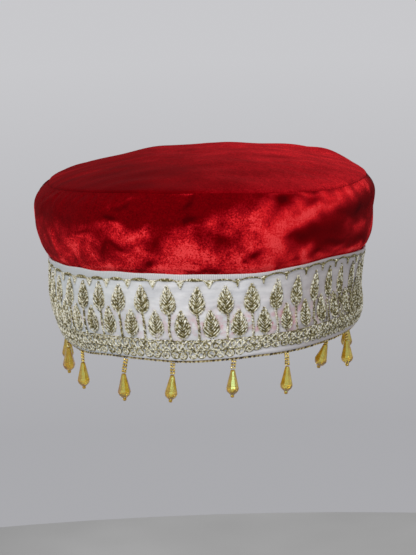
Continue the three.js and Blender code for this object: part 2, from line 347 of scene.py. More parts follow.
# Threads: half-widths across and outwards, the narrowing at their ends, and the quads that close their ends.
THREADS = {
    "leaf": (0.36, 0.36),
    "leaf_edge": (0.3, 0.32),
    "stem": (0.38, 0.36),
    "ground": (0.34, 0.3),
    "dash": (0.36, 0.3),
    "dash_end": (0.33, 0.28),
    "point": (0.4, 0.32),
    "bright_braid": (0.4, 0.38),
    "dark_braid": (0.34, 0.34),
    "line": (0.34, 0.3),
    "loop": (0.34, 0.33),
}
THREAD_SIDES = 6
THREAD_TAPER = 0.45
FIRST_CAP = np.array([(0, 5, 4, 3), (0, 3, 2, 1)])
LAST_CAP = np.array([(0, 1, 2, 3), (0, 3, 4, 5)])

# A thread's painted shine starts at a random length along it. The thread is painted lighter in the middle of
# the front
# and in painted shade at its right end: change of shade at each arc.
SHINE_START = 10
PAINTED_THREAD_LIGHT = ((-60, -40, 15, 45, 72, 120, 150), (0, 0.07, 0.07, 0, -0.14, -0.14, 0))


class Strokes:
    """Threads laid on the band, gathered into one mesh."""

    def __init__(self, rng=None):
        self.points, self.quads, self.shade, self.along = [], [], [], []
        self.count = 0
        self.rng = rng
        self.shine_rng = np.random.default_rng(40)

    def lay(self, paths, kind, shade, spread=0.0, closed=False):
        """Lays threads along paths (thread, point, [arc, height, out]), in one shade or spread about it."""
        across, thick = THREADS[kind]
        threads, length = paths.shape[:2]
        if spread:
            shade = np.clip(self.rng.normal(shade, spread, threads), 0, 1)
        flat = paths[..., :2]
        narrow = np.ones((length, 1))
        if closed:
            once_round = np.array([ARC_LENGTH, 0])
            flat = np.concatenate([flat[:, -1:] - once_round, flat, flat[:, :1] + once_round], 1)
            heading = flat[:, 2:] - flat[:, :-2]
        else:
            heading = np.gradient(flat, axis=1)
            narrow[[0, -1]] = THREAD_TAPER
        heading /= np.linalg.norm(heading, axis=-1, keepdims=True)
        turn = round_angles(THREAD_SIDES) + TURN / THREAD_SIDES / 2
        reach = across * narrow * np.cos(turn)
        arc = paths[..., 0, None] - heading[..., 1, None] * reach
        height = paths[..., 1, None] + heading[..., 0, None] * reach
        out = paths[..., 2, None] + thick * narrow * np.sin(turn)
        self.points.append(band_point(arc, height, out).reshape(-1, 3))
        first = self.count + np.arange(threads) * length * THREAD_SIDES
        self.quads.append((first[:, None, None] + self.skin(length, closed)).reshape(-1, 4))
        self.count += threads * length * THREAD_SIDES
        steps = np.linalg.norm(np.diff(paths, axis=1), axis=-1)
        along = np.pad(np.cumsum(steps, 1), ((0, 0), (1, 0)))
        along += self.shine_rng.uniform(0, SHINE_START, (threads, 1))
        self.along.append(np.repeat(along, THREAD_SIDES))
        thread_light_change = np.interp(from_front(paths[..., 0]), *PAINTED_THREAD_LIGHT)
        self.shade.append(np.repeat(np.clip(np.reshape(shade, (-1, 1)) + thread_light_change, 0, 1), THREAD_SIDES))

    @staticmethod
    def skin(length, closed):
        """Quads round one thread, with its ends closed unless it runs round the cap."""
        rings = np.arange(length if closed else length - 1)
        here, side = np.meshgrid(rings, np.arange(THREAD_SIDES), indexing="ij")
        after, beside = (here + 1) % length, (side + 1) % THREAD_SIDES
        corners = [(here, side), (here, beside), (after, beside), (after, side)]
        quads = np.stack([r * THREAD_SIDES + s for r, s in corners], -1).reshape(-1, 4)
        if closed:
            return quads
        return np.concatenate([quads, FIRST_CAP, LAST_CAP + (length - 1) * THREAD_SIDES])

    def make(self, name):
        layers = {"shade": np.concatenate(self.shade), "along": np.concatenate(self.along)}
        points, quads = np.concatenate(self.points), np.concatenate(self.quads)
        return new_object(name, points, quads, gold_thread, layers)


# Materials. Sockets of a colour mix node: share, first colour, second colour, result.
MIX_SHARE, MIX_FIRST, MIX_SECOND = 0, 6, 7
MIX_RESULT = 2


class Nodes:
    """Shader nodes of one tree, and the coordinates that they are laid by."""

    def __init__(self, tree, coordinates):
        self.tree = tree
        self.place = self.add("ShaderNodeTexCoord").outputs[coordinates]

    def feed(self, socket, value):
        """Sets a socket to a value, or links another node's output to it."""
        if isinstance(value, bpy.types.NodeSocket):
            self.tree.links.new(value, socket)
        else:
            socket.default_value = value

    def add(self, kind, inputs=None, **settings):
        """A node with its settings, and its inputs by name or number."""
        node = self.tree.nodes.new(kind)
        for key, value in settings.items():
            setattr(node, key, value)
        for key, value in (inputs or {}).items():
            self.feed(node.inputs[key], value)
        return node

    def math(self, operation, first, second=0.0, clamp=False):
        node = self.add("ShaderNodeMath", {0: first, 1: second}, operation=operation, use_clamp=clamp)
        return node.outputs[0]

    def swing(self, value, reach=1.0):
        """A share from 0 to 1 turned into a change to both sides of nought."""
        return self.math("MULTIPLY", self.math("SUBTRACT", value, 0.5), reach)

    def share(self, value, low, high):
        """Where a value lies between two others, from 0 to 1."""
        inputs = {"Value": value, "From Min": low, "From Max": high}
        return self.add("ShaderNodeMapRange", inputs).outputs["Result"]

    def noise(self, kind, stretch=None):
        """Noise of a kind: scale in waves a metre, detail, roughness."""
        place = self.place
        if stretch:
            place = self.add("ShaderNodeMapping", {"Vector": place, "Scale": stretch}).outputs["Vector"]
        scale, detail, roughness = kind
        inputs = {"Vector": place, "Scale": scale, "Detail": detail, "Roughness": roughness}
        return self.add("ShaderNodeTexNoise", inputs).outputs["Fac"]

    def ramp(self, value, stops):
        """A colour ramp with stops of (place, (r, g, b))."""
        node = self.add("ShaderNodeValToRGB", {"Fac": value})
        elements = node.color_ramp.elements
        while len(elements) < len(stops):
            elements.new(0.5)
        for element, (place, colour) in zip(elements, stops):
            element.position = place
            element.color = (*colour, 1)
        return node.outputs["Color"]

    def mix(self, share, first, second):
        """One colour over another, by a share."""
        inputs = {MIX_SHARE: share, MIX_FIRST: first, MIX_SECOND: second}
        return self.add("ShaderNodeMix", inputs, data_type="RGBA").outputs[MIX_RESULT]


class Look(Nodes):
    """A node material, with constants set on its shader's own sockets."""

    def __init__(self, name, sockets):
        self.material = bpy.data.materials.new(name)
        self.material.use_nodes = True
        super().__init__(self.material.node_tree, "Object")
        self.shader = self.tree.nodes["Principled BSDF"].inputs
        for key, value in sockets.items():
            self.shader[key].default_value = value

    def layer(self, name):
        return self.add("ShaderNodeAttribute", attribute_name=name).outputs["Fac"]

    def ripple(self, name, period):
        """A wave along a number layer, from -1 to 1."""
        return self.math("SINE", self.math("MULTIPLY", self.layer(name), TURN / period))

    def paint(self, colour):
        self.feed(self.shader["Base Color"], colour)

    def bump(self, height, distance, strength):
        node = self.add("ShaderNodeBump", {"Height": height, "Distance": distance, "Strength": strength})
        self.feed(self.shader["Normal"], node.outputs["Normal"])


# Velvet: painted light and shade on diffuse pile; its painted sparkle grows where it is lit. Bumps are in
# metres.
VELVET_SOCKETS = {
    "Roughness": 0.9,
    "Specular IOR Level": 0.0,
    "Sheen Weight": 0.025,
    "Sheen Tint": (1.0, 0.7, 0.7, 1),
}
VELVET_GRAIN = (1000, 2, 0.85)
VELVET_CLOUD = (210, 4, 0.7)
VELVET_BUMP = (0.0004, 0.5)
GRAIN_RISE = 2.7
GRAIN_LEAST = 0.02
CLOUD_SHARE = 0.5
VELVET_STOPS = [
    (0.0, (0.06, 0.0, 0.001)),
    (0.25, (0.17, 0.0, 0.002)),
    (0.5, (0.37, 0.004, 0.009)),
    (0.75, (0.74, 0.014, 0.02)),
    (1.0, (0.96, 0.06, 0.065)),
]


def velvet_material():
    look = Look("crushed_velvet", VELVET_SOCKETS)
    # The lay layer holds the painted light and shade of the crushed pile.
    lay = look.layer("lay")
    grain = look.noise(VELVET_GRAIN)
    lit = look.math("ADD", look.math("MULTIPLY", lay, GRAIN_RISE), GRAIN_LEAST)
    lit = look.math("MULTIPLY", lit, look.layer("pile"))
    sparkle = look.swing(grain, lit)
    drift = look.swing(look.noise(VELVET_CLOUD), look.math("MULTIPLY", lit, CLOUD_SHARE))
    value = look.math("ADD", look.math("ADD", lay, sparkle), drift, clamp=True)
    look.paint(look.ramp(value, VELVET_STOPS))
    look.bump(grain, *VELVET_BUMP)
    return look.material


# Band cloth: clouds and streaks, a ribbed fold, pink stains where they lie thick enough, and painted shade,
# browner on the right and greyer on the left.
CLOTH_SOCKETS = {"Roughness": 0.85, "Specular IOR Level": 0.15}
CLOTH_CLOUD = (60, 4, 0.5)
CLOTH_STREAK = (55, 3, 0.6)
STREAK_STRETCH = (1, 1, 6)
CLOTH_STOPS = [(0.36, (0.62, 0.63, 0.66)), (0.6, (0.82, 0.82, 0.835))]
RIB_PITCH = 1.15
RIB_STOPS = [(0.0, (0.58, 0.58, 0.6)), (1.0, (0.73, 0.725, 0.74))]
STAIN = (190, 3, 0.6)
STAIN_EDGE = (0.45, 0.7)
STAIN_COLOUR = (0.66, 0.3, 0.35, 1)
PAINTED_SHADE_TINTS = [(0.55, (0.4, 0.34, 0.33, 1)), (-0.4, (0.42, 0.5, 0.51, 1))]
WEAVE = (1700, 2, 0.7)
WEAVE_BUMP = (0.0003, 0.5)


def band_material():
    look = Look("white_band_cloth", CLOTH_SOCKETS)
    spots = look.share(look.noise(STAIN), *STAIN_EDGE)
    blush = look.math("MULTIPLY", spots, look.layer("blush"), clamp=True)
    clouds = look.math("ADD", look.noise(CLOTH_CLOUD), look.noise(CLOTH_STREAK, STREAK_STRETCH))
    cloth = look.ramp(look.math("MULTIPLY", clouds, 0.5), CLOTH_STOPS)
    raised = look.math("ADD", look.math("MULTIPLY", look.ripple("arc", RIB_PITCH), 0.5), 0.5)
    colour = look.mix(look.layer("fold"), cloth, look.ramp(raised, RIB_STOPS))
    # Painted shade at both ends of the front.
    for strength, tint in PAINTED_SHADE_TINTS:
        colour = look.mix(look.math("MULTIPLY", look.layer("age"), strength, clamp=True), colour, tint)
    look.paint(look.mix(blush, colour, STAIN_COLOUR))
    look.bump(look.noise(WEAVE), *WEAVE_BUMP)
    return look.material


# Metal thread: painted highlights in flecks, and in dashes along its twist, every so many millimetres.
THREAD_SOCKETS = {"Roughness": 0.28, "Metallic": 0.45, "Specular IOR Level": 0.6}
RIM_SOCKETS = {"Roughness": 0.3, "Metallic": 0.5, "Specular IOR Level": 0.6}
FLECK = (620, 2, 0.6)
FLECK_REACH = 2.7
DASH_PERIOD = 2.8
DASH_DEPTH = 0.42
PLY_PERIOD = 0.45
THREAD_BUMP = (0.0002, 0.35)
GOLD_STOPS = [
    (0.0, (0.13, 0.105, 0.028)),
    (0.35, (0.34, 0.29, 0.11)),
    (0.65, (0.65, 0.595, 0.385)),
    (1.0, (1.0, 0.98, 0.84)),
]
RIM_STOPS = [
    (0.0, (0.07, 0.045, 0.012)),
    (0.45, (0.36, 0.25, 0.07)),
    (0.75, (0.7, 0.55, 0.2)),
    (1.0, (0.95, 0.85, 0.5)),
]


def gold_material(name, sockets, stops):
    look = Look(name, sockets)
    fleck = look.noise(FLECK)
    dash = look.math("MULTIPLY", look.ripple("along", DASH_PERIOD), DASH_DEPTH)
    spark = look.math("ADD", look.swing(fleck, FLECK_REACH), dash)
    look.paint(look.ramp(look.math("ADD", look.layer("shade"), spark, clamp=True), stops))
    look.bump(look.math("ADD", look.ripple("along", PLY_PERIOD), fleck), *THREAD_BUMP)
    return look.material


# Amber glass and gold beads, clouded a little round the tint or light of each place.
AMBER_SOCKETS = {
    "Roughness": 0.06,
    "IOR": 1.52,
    "Transmission Weight": 0.72,
    "Coat Weight": 0.15,
    "Coat Roughness": 0.04,
    "Thin Film Thickness": 385.0,
    "Thin Film IOR": 1.75,
}
AMBER_CLOUD = (260, 2, 0.5)
AMBER_STOPS = [
    (0.0, (0.34, 0.12, 0.006)),
    (0.35, (0.72, 0.38, 0.015)),
    (0.65, (0.92, 0.64, 0.05)),
    (1.0, (0.78, 0.82, 0.26)),
]
BEAD_SOCKETS = {"Roughness": 0.16, "Metallic": 0.75, "Coat Weight": 0.5, "Coat Roughness": 0.05}
BEAD_CLOUD = (700, 1, 0.5)
BEAD_STOPS = [
    (0.0, (0.1, 0.05, 0.006)),
    (0.45, (0.5, 0.32, 0.05)),
    (0.75, (0.86, 0.64, 0.15)),
    (1.0, (1.0, 0.9, 0.5)),
]


def clouded_material(name, sockets, layer, cloud, stops):
    look = Look(name, sockets)
    value = look.math("ADD", look.layer(layer), look.swing(look.noise(cloud)), clamp=True)
    look.paint(look.ramp(value, stops))
    return look.material


velvet = velvet_material()
band_cloth = band_material()
gold_thread = gold_material("gold_thread", THREAD_SOCKETS, GOLD_STOPS)
rim_gold = gold_material("rim_gold", RIM_SOCKETS, RIM_STOPS)
amber = clouded_material("amber_glass_drop", AMBER_SOCKETS, "tint", AMBER_CLOUD, AMBER_STOPS)
gold_bead = clouded_material("gold_seed_bead", BEAD_SOCKETS, "light", BEAD_CLOUD, BEAD_STOPS)

# Velvet: painted light and shade of the crushed pile. Patches of the front, marked on the photograph and
# rounded:
# angle, height, half-width, half-height, slant in degrees, and how much lighter or darker the pile is painted
# there.
PAINTED_LIGHT_PATCHES = [
    (-59, 66, 7, 4, -50, 0.2), (-57, 57, 6, 4, 45, 0.15), (-54, 58, 11, 2, 25, 0.2),
    (-56, 53, 7, 2.5, 10, 0.2), (-57, 62, 9, 3, 30, 0.15), (-49, 63, 8, 5, -35, 0.45),
    (-47, 58, 6, 2.5, 35, 0.2), (-44, 69, 11, 3, 5, 0.3), (-41, 72, 6, 2, 5, -0.25),
    (-40, 62, 5.5, 4.5, 80, 0.35), (-36, 60, 7, 4, 15, 0.1), (-59, 76, 14, 3.5, 5, -0.1),
    (-49, 55, 9, 2, 25, -0.25), (-44, 55, 8, 1.5, 5, -0.1), (-30, 76, 8, 2.5, 0, 0.3),
    (-30, 79, 5, 2, -20, -0.3), (-26, 72, 10, 3.5, -10, 0.3), (-20, 75, 5, 3.5, 15, 0.3),
    (-22, 72, 6, 3.5, 5, 0.25), (-25, 63, 11, 2, 5, 0.2), (-33, 55, 9, 2.5, 5, 0.35),
    (-33, 53, 16, 2, 0, 0.15), (-24, 58, 6, 3, 5, 0.4), (-20, 62, 7, 3, 5, 0.25), (-18, 60, 4, 3, 30, 0.2),
    (-24, 67, 5, 1.5, 15, 0.15), (-34, 63, 7, 2.5, 55, -0.25), (-16, 69, 7, 3, 60, -0.2),
    (-19, 56, 5, 3, 15, -0.35), (-29, 66, 6, 2, -15, -0.25), (-18, 74, 2.5, 2, 15, -0.2),
    (-13, 60, 6, 5, 35, 0.35), (-14, 63, 3.5, 2, 80, -0.15), (-15, 54, 7, 2.5, 5, 0.4),
    (-24, 91, 5.5, 1, 10, 0.15), (-30, 88, 4, 1.5, -55, 0.1), (-26, 87, 5, 1.5, 0, -0.1),
    (-8, 65, 7.5, 7, 30, 0.55), (-3, 63, 7.5, 5.5, 5, 0.55), (-2, 64, 3.5, 3.5, 20, -0.15),
    (-5, 74, 6, 2, 30, 0.2), (-5, 79, 4.5, 2, 15, -0.3), (-2, 77, 5, 2, 5, -0.25),
    (-6, 72, 4, 2, 90, -0.15), (-6, 53, 4, 1.5, 0, -0.5), (-1, 54, 4, 2.5, 0, -0.55),
    (3, 53, 4, 2, 0, -0.45), (-5, 55, 5.5, 3, 5, 0.35), (-9, 57, 3.5, 3, 15, 0.2), (2, 80, 6, 3, 25, 0.4),
    (1, 62, 4.5, 4.5, 10, 0.3), (5, 70, 9, 5, 0, -0.3), (5, 75, 10, 3, 0, 0.2), (3, 69, 4.5, 2.5, 0, 0.1),
    (3, 59, 4, 3, -55, 0.3), (-7, 94, 5.5, 0.6, 0, 0.35), (-5, 90, 3, 2, -85, -0.15),
    (10, 82, 7.5, 4, 10, 0.4), (16, 82, 7.5, 7, -10, 0.45), (13, 80, 8, 5, 0, 0.15),
    (20, 71, 9, 8, -25, 0.45), (19, 73, 5.5, 4.5, -5, -0.1), (27, 79, 11, 7.5, 10, 0.5),
    (25, 78, 8.5, 3.5, 10, -0.1), (30, 72, 5, 3, 15, -0.1), (30, 86, 9.5, 4.5, 10, 0.2),
    (28, 87, 5.5, 4.5, 5, -0.4), (8, 60, 5, 4.5, -30, 0.5), (8, 57, 3.5, 2, 0, 0.2),
    (12, 57, 2.5, 1.5, -10, -0.3), (19, 57, 11, 5, 0, 0.45), (16, 62, 4, 2.5, 20, -0.5),
    (17, 59, 4, 2, -10, -0.15), (24, 65, 7.5, 6, -50, 0.4), (27, 68, 3.5, 2.5, -40, -0.2),
    (31, 59, 5.5, 4.5, -65, 0.5), (30, 57, 5.5, 2, -55, -0.25), (25, 53, 3, 2, -30, -0.35),
    (13, 70, 5.5, 4, 90, 0.25), (10, 72, 5.5, 4, 0, 0.15), (10, 64, 3.5, 2.5, 0, 0.3),
    (13, 65, 6, 3.5, 0, 0.1), (18, 66, 5.5, 4.5, -10, 0.15), (22, 94, 3.5, 1.5, 5, 0.3),
    (25, 90, 4.5, 3, 35, -0.45), (19, 89, 5.5, 3.5, 20, 0.3), (20, 86, 4.5, 4, 25, 0.15),
    (32, 94, 11, 1.5, 0, 0.3), (32, 93, 23, 1.5, 0, 0.15), (33, 83, 14, 6.5, 10, 0.5),
    (44, 87, 17, 7, 10, 0.55), (43, 88, 12, 2.5, 5, -0.2), (59, 91, 21, 5.5, 5, 0.5),
    (35, 90, 6.5, 2.5, 0, -0.4), (34, 90, 4.5, 2, 5, 0.3), (39, 92, 5, 2, 5, 0.2), (33, 70, 11, 5, 0, -0.3),
    (45, 71, 14, 6.5, 10, -0.2), (37, 78, 5, 4, 10, 0.3), (35, 65, 5.5, 3.5, -75, 0.1),
    (40, 55, 4.5, 2, -30, 0.45), (47, 57, 5, 2, -25, 0.45), (61, 55, 10, 2.5, -5, 0.45),
    (34, 56, 7, 2.5, -50, 0.3), (51, 74, 8, 3.5, 10, 0.2), (57, 65, 9, 3, 0, 0.15),
    (61, 69, 10, 2.5, -5, 0.35), (61, 78, 16, 6, -10, -0.2), (65, 60, 17, 3.5, -10, -0.2),
    (45, 62, 12, 2.5, -5, -0.2), (71, 91, 12, 2.5, 0, 0.2), (73, 94, 9, 2.5, 0, 0.35),
    (-84, 86, 10, 8, 0, 0.1), (5, 78, 4, 3, 0, 0.12), (3, 72, 4, 2.5, 0, 0.1), (14, 67, 6, 4, 0, 0.1),
    (-4, 55, 5, 2, 0, 0.3), (11, 54, 8, 2, 0, 0.2), (29, 83, 5, 6, 20, -0.1), (48, 74, 6, 3, 0, -0.08),
    (-24, 52, 9, 2, 0, -0.35), (-30, 79, 4, 2, 0, -0.15), (-4, 66, 3, 3, 0, -0.1), (0, 65, 3, 3, 0, -0.1),
    (31, 61, 2, 3, 0, -0.15), (39, 58, 3, 2, 20, -0.3), (26, 56, 6, 1.5, 0, -0.2), (25, 92, 4, 2.5, 0, 0.3),
    (25, 71, 3, 2.5, 0, 0.12), (35, 62, 2.5, 3, 0, 0.35), (64, 82, 5, 5, 0, 0.08), (-68, 66, 6, 4, 0, 0.1),
    (-56, 71, 4, 3, 0, 0.1), (-47, 60, 4, 4, 0, 0.12), (28, 61, 2, 3, 0, 0.2), (54, 92, 6, 2.5, 0, -0.1),
]

# Painted light and shade round the back: how many patches, and the ranges of their angle, height, half-width
# and half-height, of their slant, and of how much lighter or darker they are painted. Those under a random
# height are lighter.
BACK_PATCHES = 44
BACK_RANGES = [(75, 285), (54, 90), (6, 16), (3, 8)]
BACK_SLANT = (-35, 40)
LIGHTER_UNDER = (62, 90)
LIGHTER = (0.25, 0.55)
DARKER = (0.2, 0.45)

# The side's painted light and shade between the patches: painted shade high up, lighter low down, and painted
# light just over the band, against the shade where the velvet curves in.
LIT_HIGH = 0.17
LIT_LOW = 0.33
LIT_CHANGE = (75.5, 80.5)
LIT_FOOT = 0.36
FOOT_RANGE = (BAND_TOP + 1, BAND_TOP + 6)
FINE_RANGE = (0.2, 0.4)
SIDE_LEAST = 0.02

# The pile's painted sparkle is weaker round one angle of the right front.
SMOOTH_ANGLE = 40
SMOOTH_REACH = 0.45
SMOOTH_SHARE = 0.6

# The top's painted light and shade: darkest, how much lighter it is painted towards the right and the back,
# and by the right front edge.
TOP_DARK = 0.1
TOP_RIGHT = 0.26
RIGHT_RANGE = (-65, 60)
TOP_REAR = 0.16
REAR_RANGE = (-100, 20)
EDGE_LIGHT = 0.12
EDGE_ANGLE = 44
EDGE_REACH = 0.42
EDGE_FROM = 0.8
TOP_LEAST = 0.05
TOP_PILE = 0.6


def patch_rows():
    """The front's patches, and others like them round the back."""
    rng = np.random.default_rng(31)
    rows = list(PAINTED_LIGHT_PATCHES)
    for _ in range(BACK_PATCHES):
        angle, height, wide, tall = (rng.uniform(*ends) for ends in BACK_RANGES)
        lighter = height < rng.uniform(*LIGHTER_UNDER)
        amount = rng.uniform(*LIGHTER) if lighter else -rng.uniform(*DARKER)
        rows.append((angle, height, wide, tall, rng.uniform(*BACK_SLANT), amount))
    return rows


def side_painted_light(angle, height):
    """Painted light and shade of the side's pile, about 0 to 1."""
    shift = uneven("light_shift_round", angle, height)
    shifted_height = height + uneven("light_shift_up", angle, height)
    total = LIT_HIGH + (LIT_LOW - LIT_HIGH) * (1 - smoothstep(shifted_height, *LIT_CHANGE))
    for degrees, middle, wide, tall, slant, amount in patch_rows():
        du = turn_from(degrees, angle) * FOLD_REACH + shift
        dh = shifted_height - middle
        c, s = math.cos(math.radians(slant)), math.sin(math.radians(slant))
        total += amount * bell(du * c + dh * s, wide) * bell(dh * c - du * s, tall)
    total += LIT_FOOT * (1 - smoothstep(height, *FOOT_RANGE))
    total += uneven("light_fine", angle, height) * smoothstep(total, *FINE_RANGE)
    return np.clip(total, SIDE_LEAST, 1)


def side_pile(angle):
    """How strong the side's painted sparkle is: weaker on the right of the front."""
    return 1 - SMOOTH_SHARE * np.exp(-((turn_from(SMOOTH_ANGLE, angle) / SMOOTH_REACH) ** 4))


def top_painted_light(x, y):
    """The top's painted light and shade: darker on the left, faintly streaked, with painted light by the
    right front edge.
    """
    total = TOP_DARK + TOP_RIGHT * smoothstep(x, *RIGHT_RANGE) + TOP_REAR * smoothstep(y, *REAR_RANGE)
    total += uneven("top_streaks", y, x)
    edge = np.hypot(x / TOP_ACROSS, y / TOP_AHEAD)
    facing = bell(turn_from(EDGE_ANGLE, np.arctan2(x, -y)), EDGE_REACH)
    total += EDGE_LIGHT * facing * smoothstep(edge, EDGE_FROM, 1)
    total += uneven("top_clouds", x, y)
    return np.clip(total, TOP_LEAST, 1)


# Creases and ridges of the side: from angle and height, to angle and height, half-width, push outwards.
CREASES = [
    (-62, 93, -70, 82, 3.0, 0.8),
    (-66, 93, -74, 84, 2.4, -0.8),
    (-60, 71, -60, 56, 2.2, 0.7),
    (-45, 93, -47, 89, 1.4, -0.7),
    (-28, 93, -26, 88, 1.8, -0.7),
    (-24, 92.5, -20, 89.5, 1.5, 0.6),
    (-9, 93.2, -4, 93.2, 0.9, 0.7),
    (-4.5, 93, -4, 88, 1.6, -0.6),
    (22, 94, 24, 88, 2.0, -0.8),
    (27, 94, 28, 89, 1.6, -0.7),
    (75, 93, 72, 80, 2.2, -0.7),
    (82, 92, 80, 78, 2.2, 0.7),
    (118, 93, 114, 85, 2.0, -0.8),
    (152, 93, 155, 86, 1.8, -0.7),
    (190, 93, 187, 84, 2.0, 0.7),
    (228, 93, 232, 86, 1.8, -0.8),
    (262, 93, 258, 82, 2.2, 0.7),
]
CREASE_FADE = 0.6

# Where the velvet is gathered, how soon gathers and puckers fade, and where the relief begins and ends.
GATHERED = (0, 1.5)
GATHER_FADE = 5
PUCKER_FADE = 4
PUCKER_POWER = 3
RELIEF_FOOT = (BAND_TOP - 0.5, BAND_TOP + 2.5)
RELIEF_HEAD = (SEAM - 2, SEAM)


def creases(angle, height):
    total = np.zeros(np.broadcast(angle, height).shape)
    for a0, h0, a1, h1, wide, push in CREASES:
        run = np.array([math.radians(a1 - a0) * FOLD_REACH, h1 - h0])
        du, dh = turn_from(a0, angle) * FOLD_REACH, height - h0
        place = np.clip((du * run[0] + dh * run[1]) / (run @ run), 0, 1)
        distance = np.hypot(du - place * run[0], dh - place * run[1])
        total += push * (1 - CREASE_FADE * place) * bell(distance, wide)
    return total


def velvet_relief(angle, height):
    """Gathers over the band, puckers under the seam, creases, and a soft crumple between."""
    here = smoothstep(uneven("gathered_places", angle), *GATHERED)
    gathers = uneven("gathers", angle, height) * np.exp(-(height - BAND_TOP) / GATHER_FADE) * here
    puckers = uneven("puckers", angle, height) * np.exp((height - SEAM) / PUCKER_FADE)
    puckers *= (1 - here) ** PUCKER_POWER
    shown = smoothstep(height, *RELIEF_FOOT) * (1 - smoothstep(height, *RELIEF_HEAD))
    return (gathers + puckers + uneven("crumple", angle, height) + creases(angle, height)) * shown


# Columns of points round the cap, and the side's heights: under the band, in view, at its seam, and inside.
SIDE_COLUMNS = 640
SIDE_HIDDEN = [RIM, 4.5, 9, 17, 25.7, 38, 48]
SIDE_SHOWN = np.linspace(BAND_TOP, 92, 58)
SIDE_EDGE = [92.8, 93.5, SEAM, SEAM + 0.4]
SIDE_INSIDE = np.array([SEAM, 90, 86, 80, 74, 68, 62, 56, BAND_TOP, 38, 25.7, 9, RIM])
EDGE_TUCK = 0.5


def behind_band(height):
    """How far the velvet lies inside the cap's outer surface, to leave room for the band."""
    return (BAND_WALL + GAP) * (1 - smoothstep(height, BAND_TOP, BAND_TOP + SWELL))


def make_crown_side():
    angle = round_angles(SIDE_COLUMNS)[:, None]
    outer = np.concatenate([SIDE_HIDDEN, SIDE_SHOWN, SIDE_EDGE])
    inset = behind_band(outer) + EDGE_TUCK * (outer > SEAM) - velvet_relief(angle, outer)
    inside = side_point(angle, SIDE_INSIDE, behind_band(SIDE_INSIDE) + VELVET_WALL)
    points = np.concatenate([side_point(angle, outer, inset), inside], 1)
    heights = np.concatenate([outer, SIDE_INSIDE])
    # Painted light and shade of the pile, and how strong its painted sparkle is.
    lay = side_painted_light(angle, heights)
    layers = {"lay": lay, "pile": side_pile(angle) + 0 * lay}
    quads = round_quads(SIDE_COLUMNS, len(heights), True)
    made = new_object("velvet_side", points, quads, velvet, layers)
    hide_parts("crown_side")


# The top: columns of points round it, and rows over and under it as shares of the radius. Its edge thins to
# a lip that laps over the side, and its soft relief fades out there.
TOP_COLUMNS = 480
TOP_OVER = np.concatenate([[1.0, 0.994, 0.985, 0.97], np.linspace(0.95, 0.04, 44)])
TOP_UNDER = np.concatenate([np.linspace(0.06, 0.9, 9), [0.96, 1.0]])
SEAM_LAP = 0.6
LIP_WALL = 0.15
EDGE_POWER = 16
SOFT_POWER = 10
WRINKLE_POWER = 20


def make_crown_top():
    angle = round_angles(TOP_COLUMNS)[:, None]
    above = top_point(angle, TOP_OVER)
    x, y = above[..., 0], above[..., 1]
    soft = uneven("top_soft", x, y) * (1 - TOP_OVER**SOFT_POWER)
    wrinkles = uneven("top_wrinkles", y, x) * (1 - TOP_OVER**WRINKLE_POWER)
    wall = LIP_WALL + (VELVET_WALL - LIP_WALL) * np.sqrt(1 - TOP_OVER**EDGE_POWER)
    above[..., 2] += wall + soft + wrinkles
    below = top_point(angle, TOP_UNDER)
    below[:, -1, 2] -= SEAM_LAP
    grid = np.concatenate([below, above], 1)
    rows = grid.shape[1]
    middles = [top_point(np.zeros(1), np.zeros(1), rise) for rise in (0, VELVET_WALL)]
    points = np.concatenate([grid.reshape(-1, 3), *middles])
    here = np.arange(TOP_COLUMNS) * rows
    beside = np.roll(here, -1)
    middle = np.full(TOP_COLUMNS, TOP_COLUMNS * rows)
    low = np.stack([middle, beside, here], -1)
    high = np.stack([middle + 1, here + rows - 1, beside + rows - 1], -1)
    tris = np.concatenate([low, high])
    # Painted light and shade of the pile, and how strong its painted sparkle is.
    layers = {"lay": top_painted_light(points[:, 0], points[:, 1]), "pile": np.full(len(points), TOP_PILE)}
    quads = round_quads(TOP_COLUMNS, rows, False)
    made = new_object("velvet_top", points, quads, velvet, layers, tris)
    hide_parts("crown_top")


# The band: its profile from the hem up the outside, over the folded top, and down the inside (height, out).
HEM_PROFILE = [
    (0.5, -1.5), (0.1, -1.3), (-0.15, -0.8), (-0.1, -0.2), (0.25, 0.25), (1.0, 0.45), (2.0, 0.42), (2.7, 0.2),
    (3.1, 0.02),
]
MIDDLE_HEIGHTS = np.linspace(4, 46.6, 40)
FOLD_PROFILE = [
    (47.7, 0.02), (48.0, 0.2), (48.5, 0.28), (49.2, 0.3), (50, 0.3), (50.8, 0.25), (51.15, 0.1), (51.3, -0.2),
    (51.3, -0.8), (50.8, -1.3),
]
FOLD_LOW = FOLD_PROFILE[0][0]
INNER_HEIGHTS = [48, 38, 25.7, 17, 9, 4.5]

# The folded strip is not even: how far its lower edge, and the cloth just below, lie higher at each arc.
STRIP_SHIFT = (
    (-130, -96, -81, -52, -22, 9, 24, 39, 96, 130),
    (0, -1.8, -1.5, -0.7, -0.1, 0.3, 1.0, 1.7, 1.7, 0),
)
SLIDE_FROM = 30
WANDER_RANGE = (46.8, 48)
FOLD_RANGE = (47.5, 48.2)

# Where the cloth's relief begins and ends, and where the stains lie: height, angle, and how they spread.
CLOTH_FOOT = (2, 6)
CLOTH_HEAD = (46, 47.5)
BLUSH_HEIGHT = 21
BLUSH_TALL = 8
BLUSH_ANGLE = 16
BLUSH_REACH = 0.42
BLUSH_LEAST = 0.3

# Painted shade on the cloth: greyer at the left end of the front (negative) and browner at the right.
PAINTED_SHADE_ENDS = ((-150, -105, -55, -25, 20, 60, 120, 150), (0, -1, -0.7, 0, 0, 1, 1.1, 0))


def strip_shift(arc):
    return np.interp(from_front(arc), *STRIP_SHIFT)


def cloth_relief(angle, height):
    """Fine creases across the white cloth, and the slack between its stitches."""
    relief = uneven("slack", angle, height) + uneven("cloth_creases", angle, height)
    return relief * smoothstep(height, *CLOTH_FOOT) * (1 - smoothstep(height, *CLOTH_HEAD))


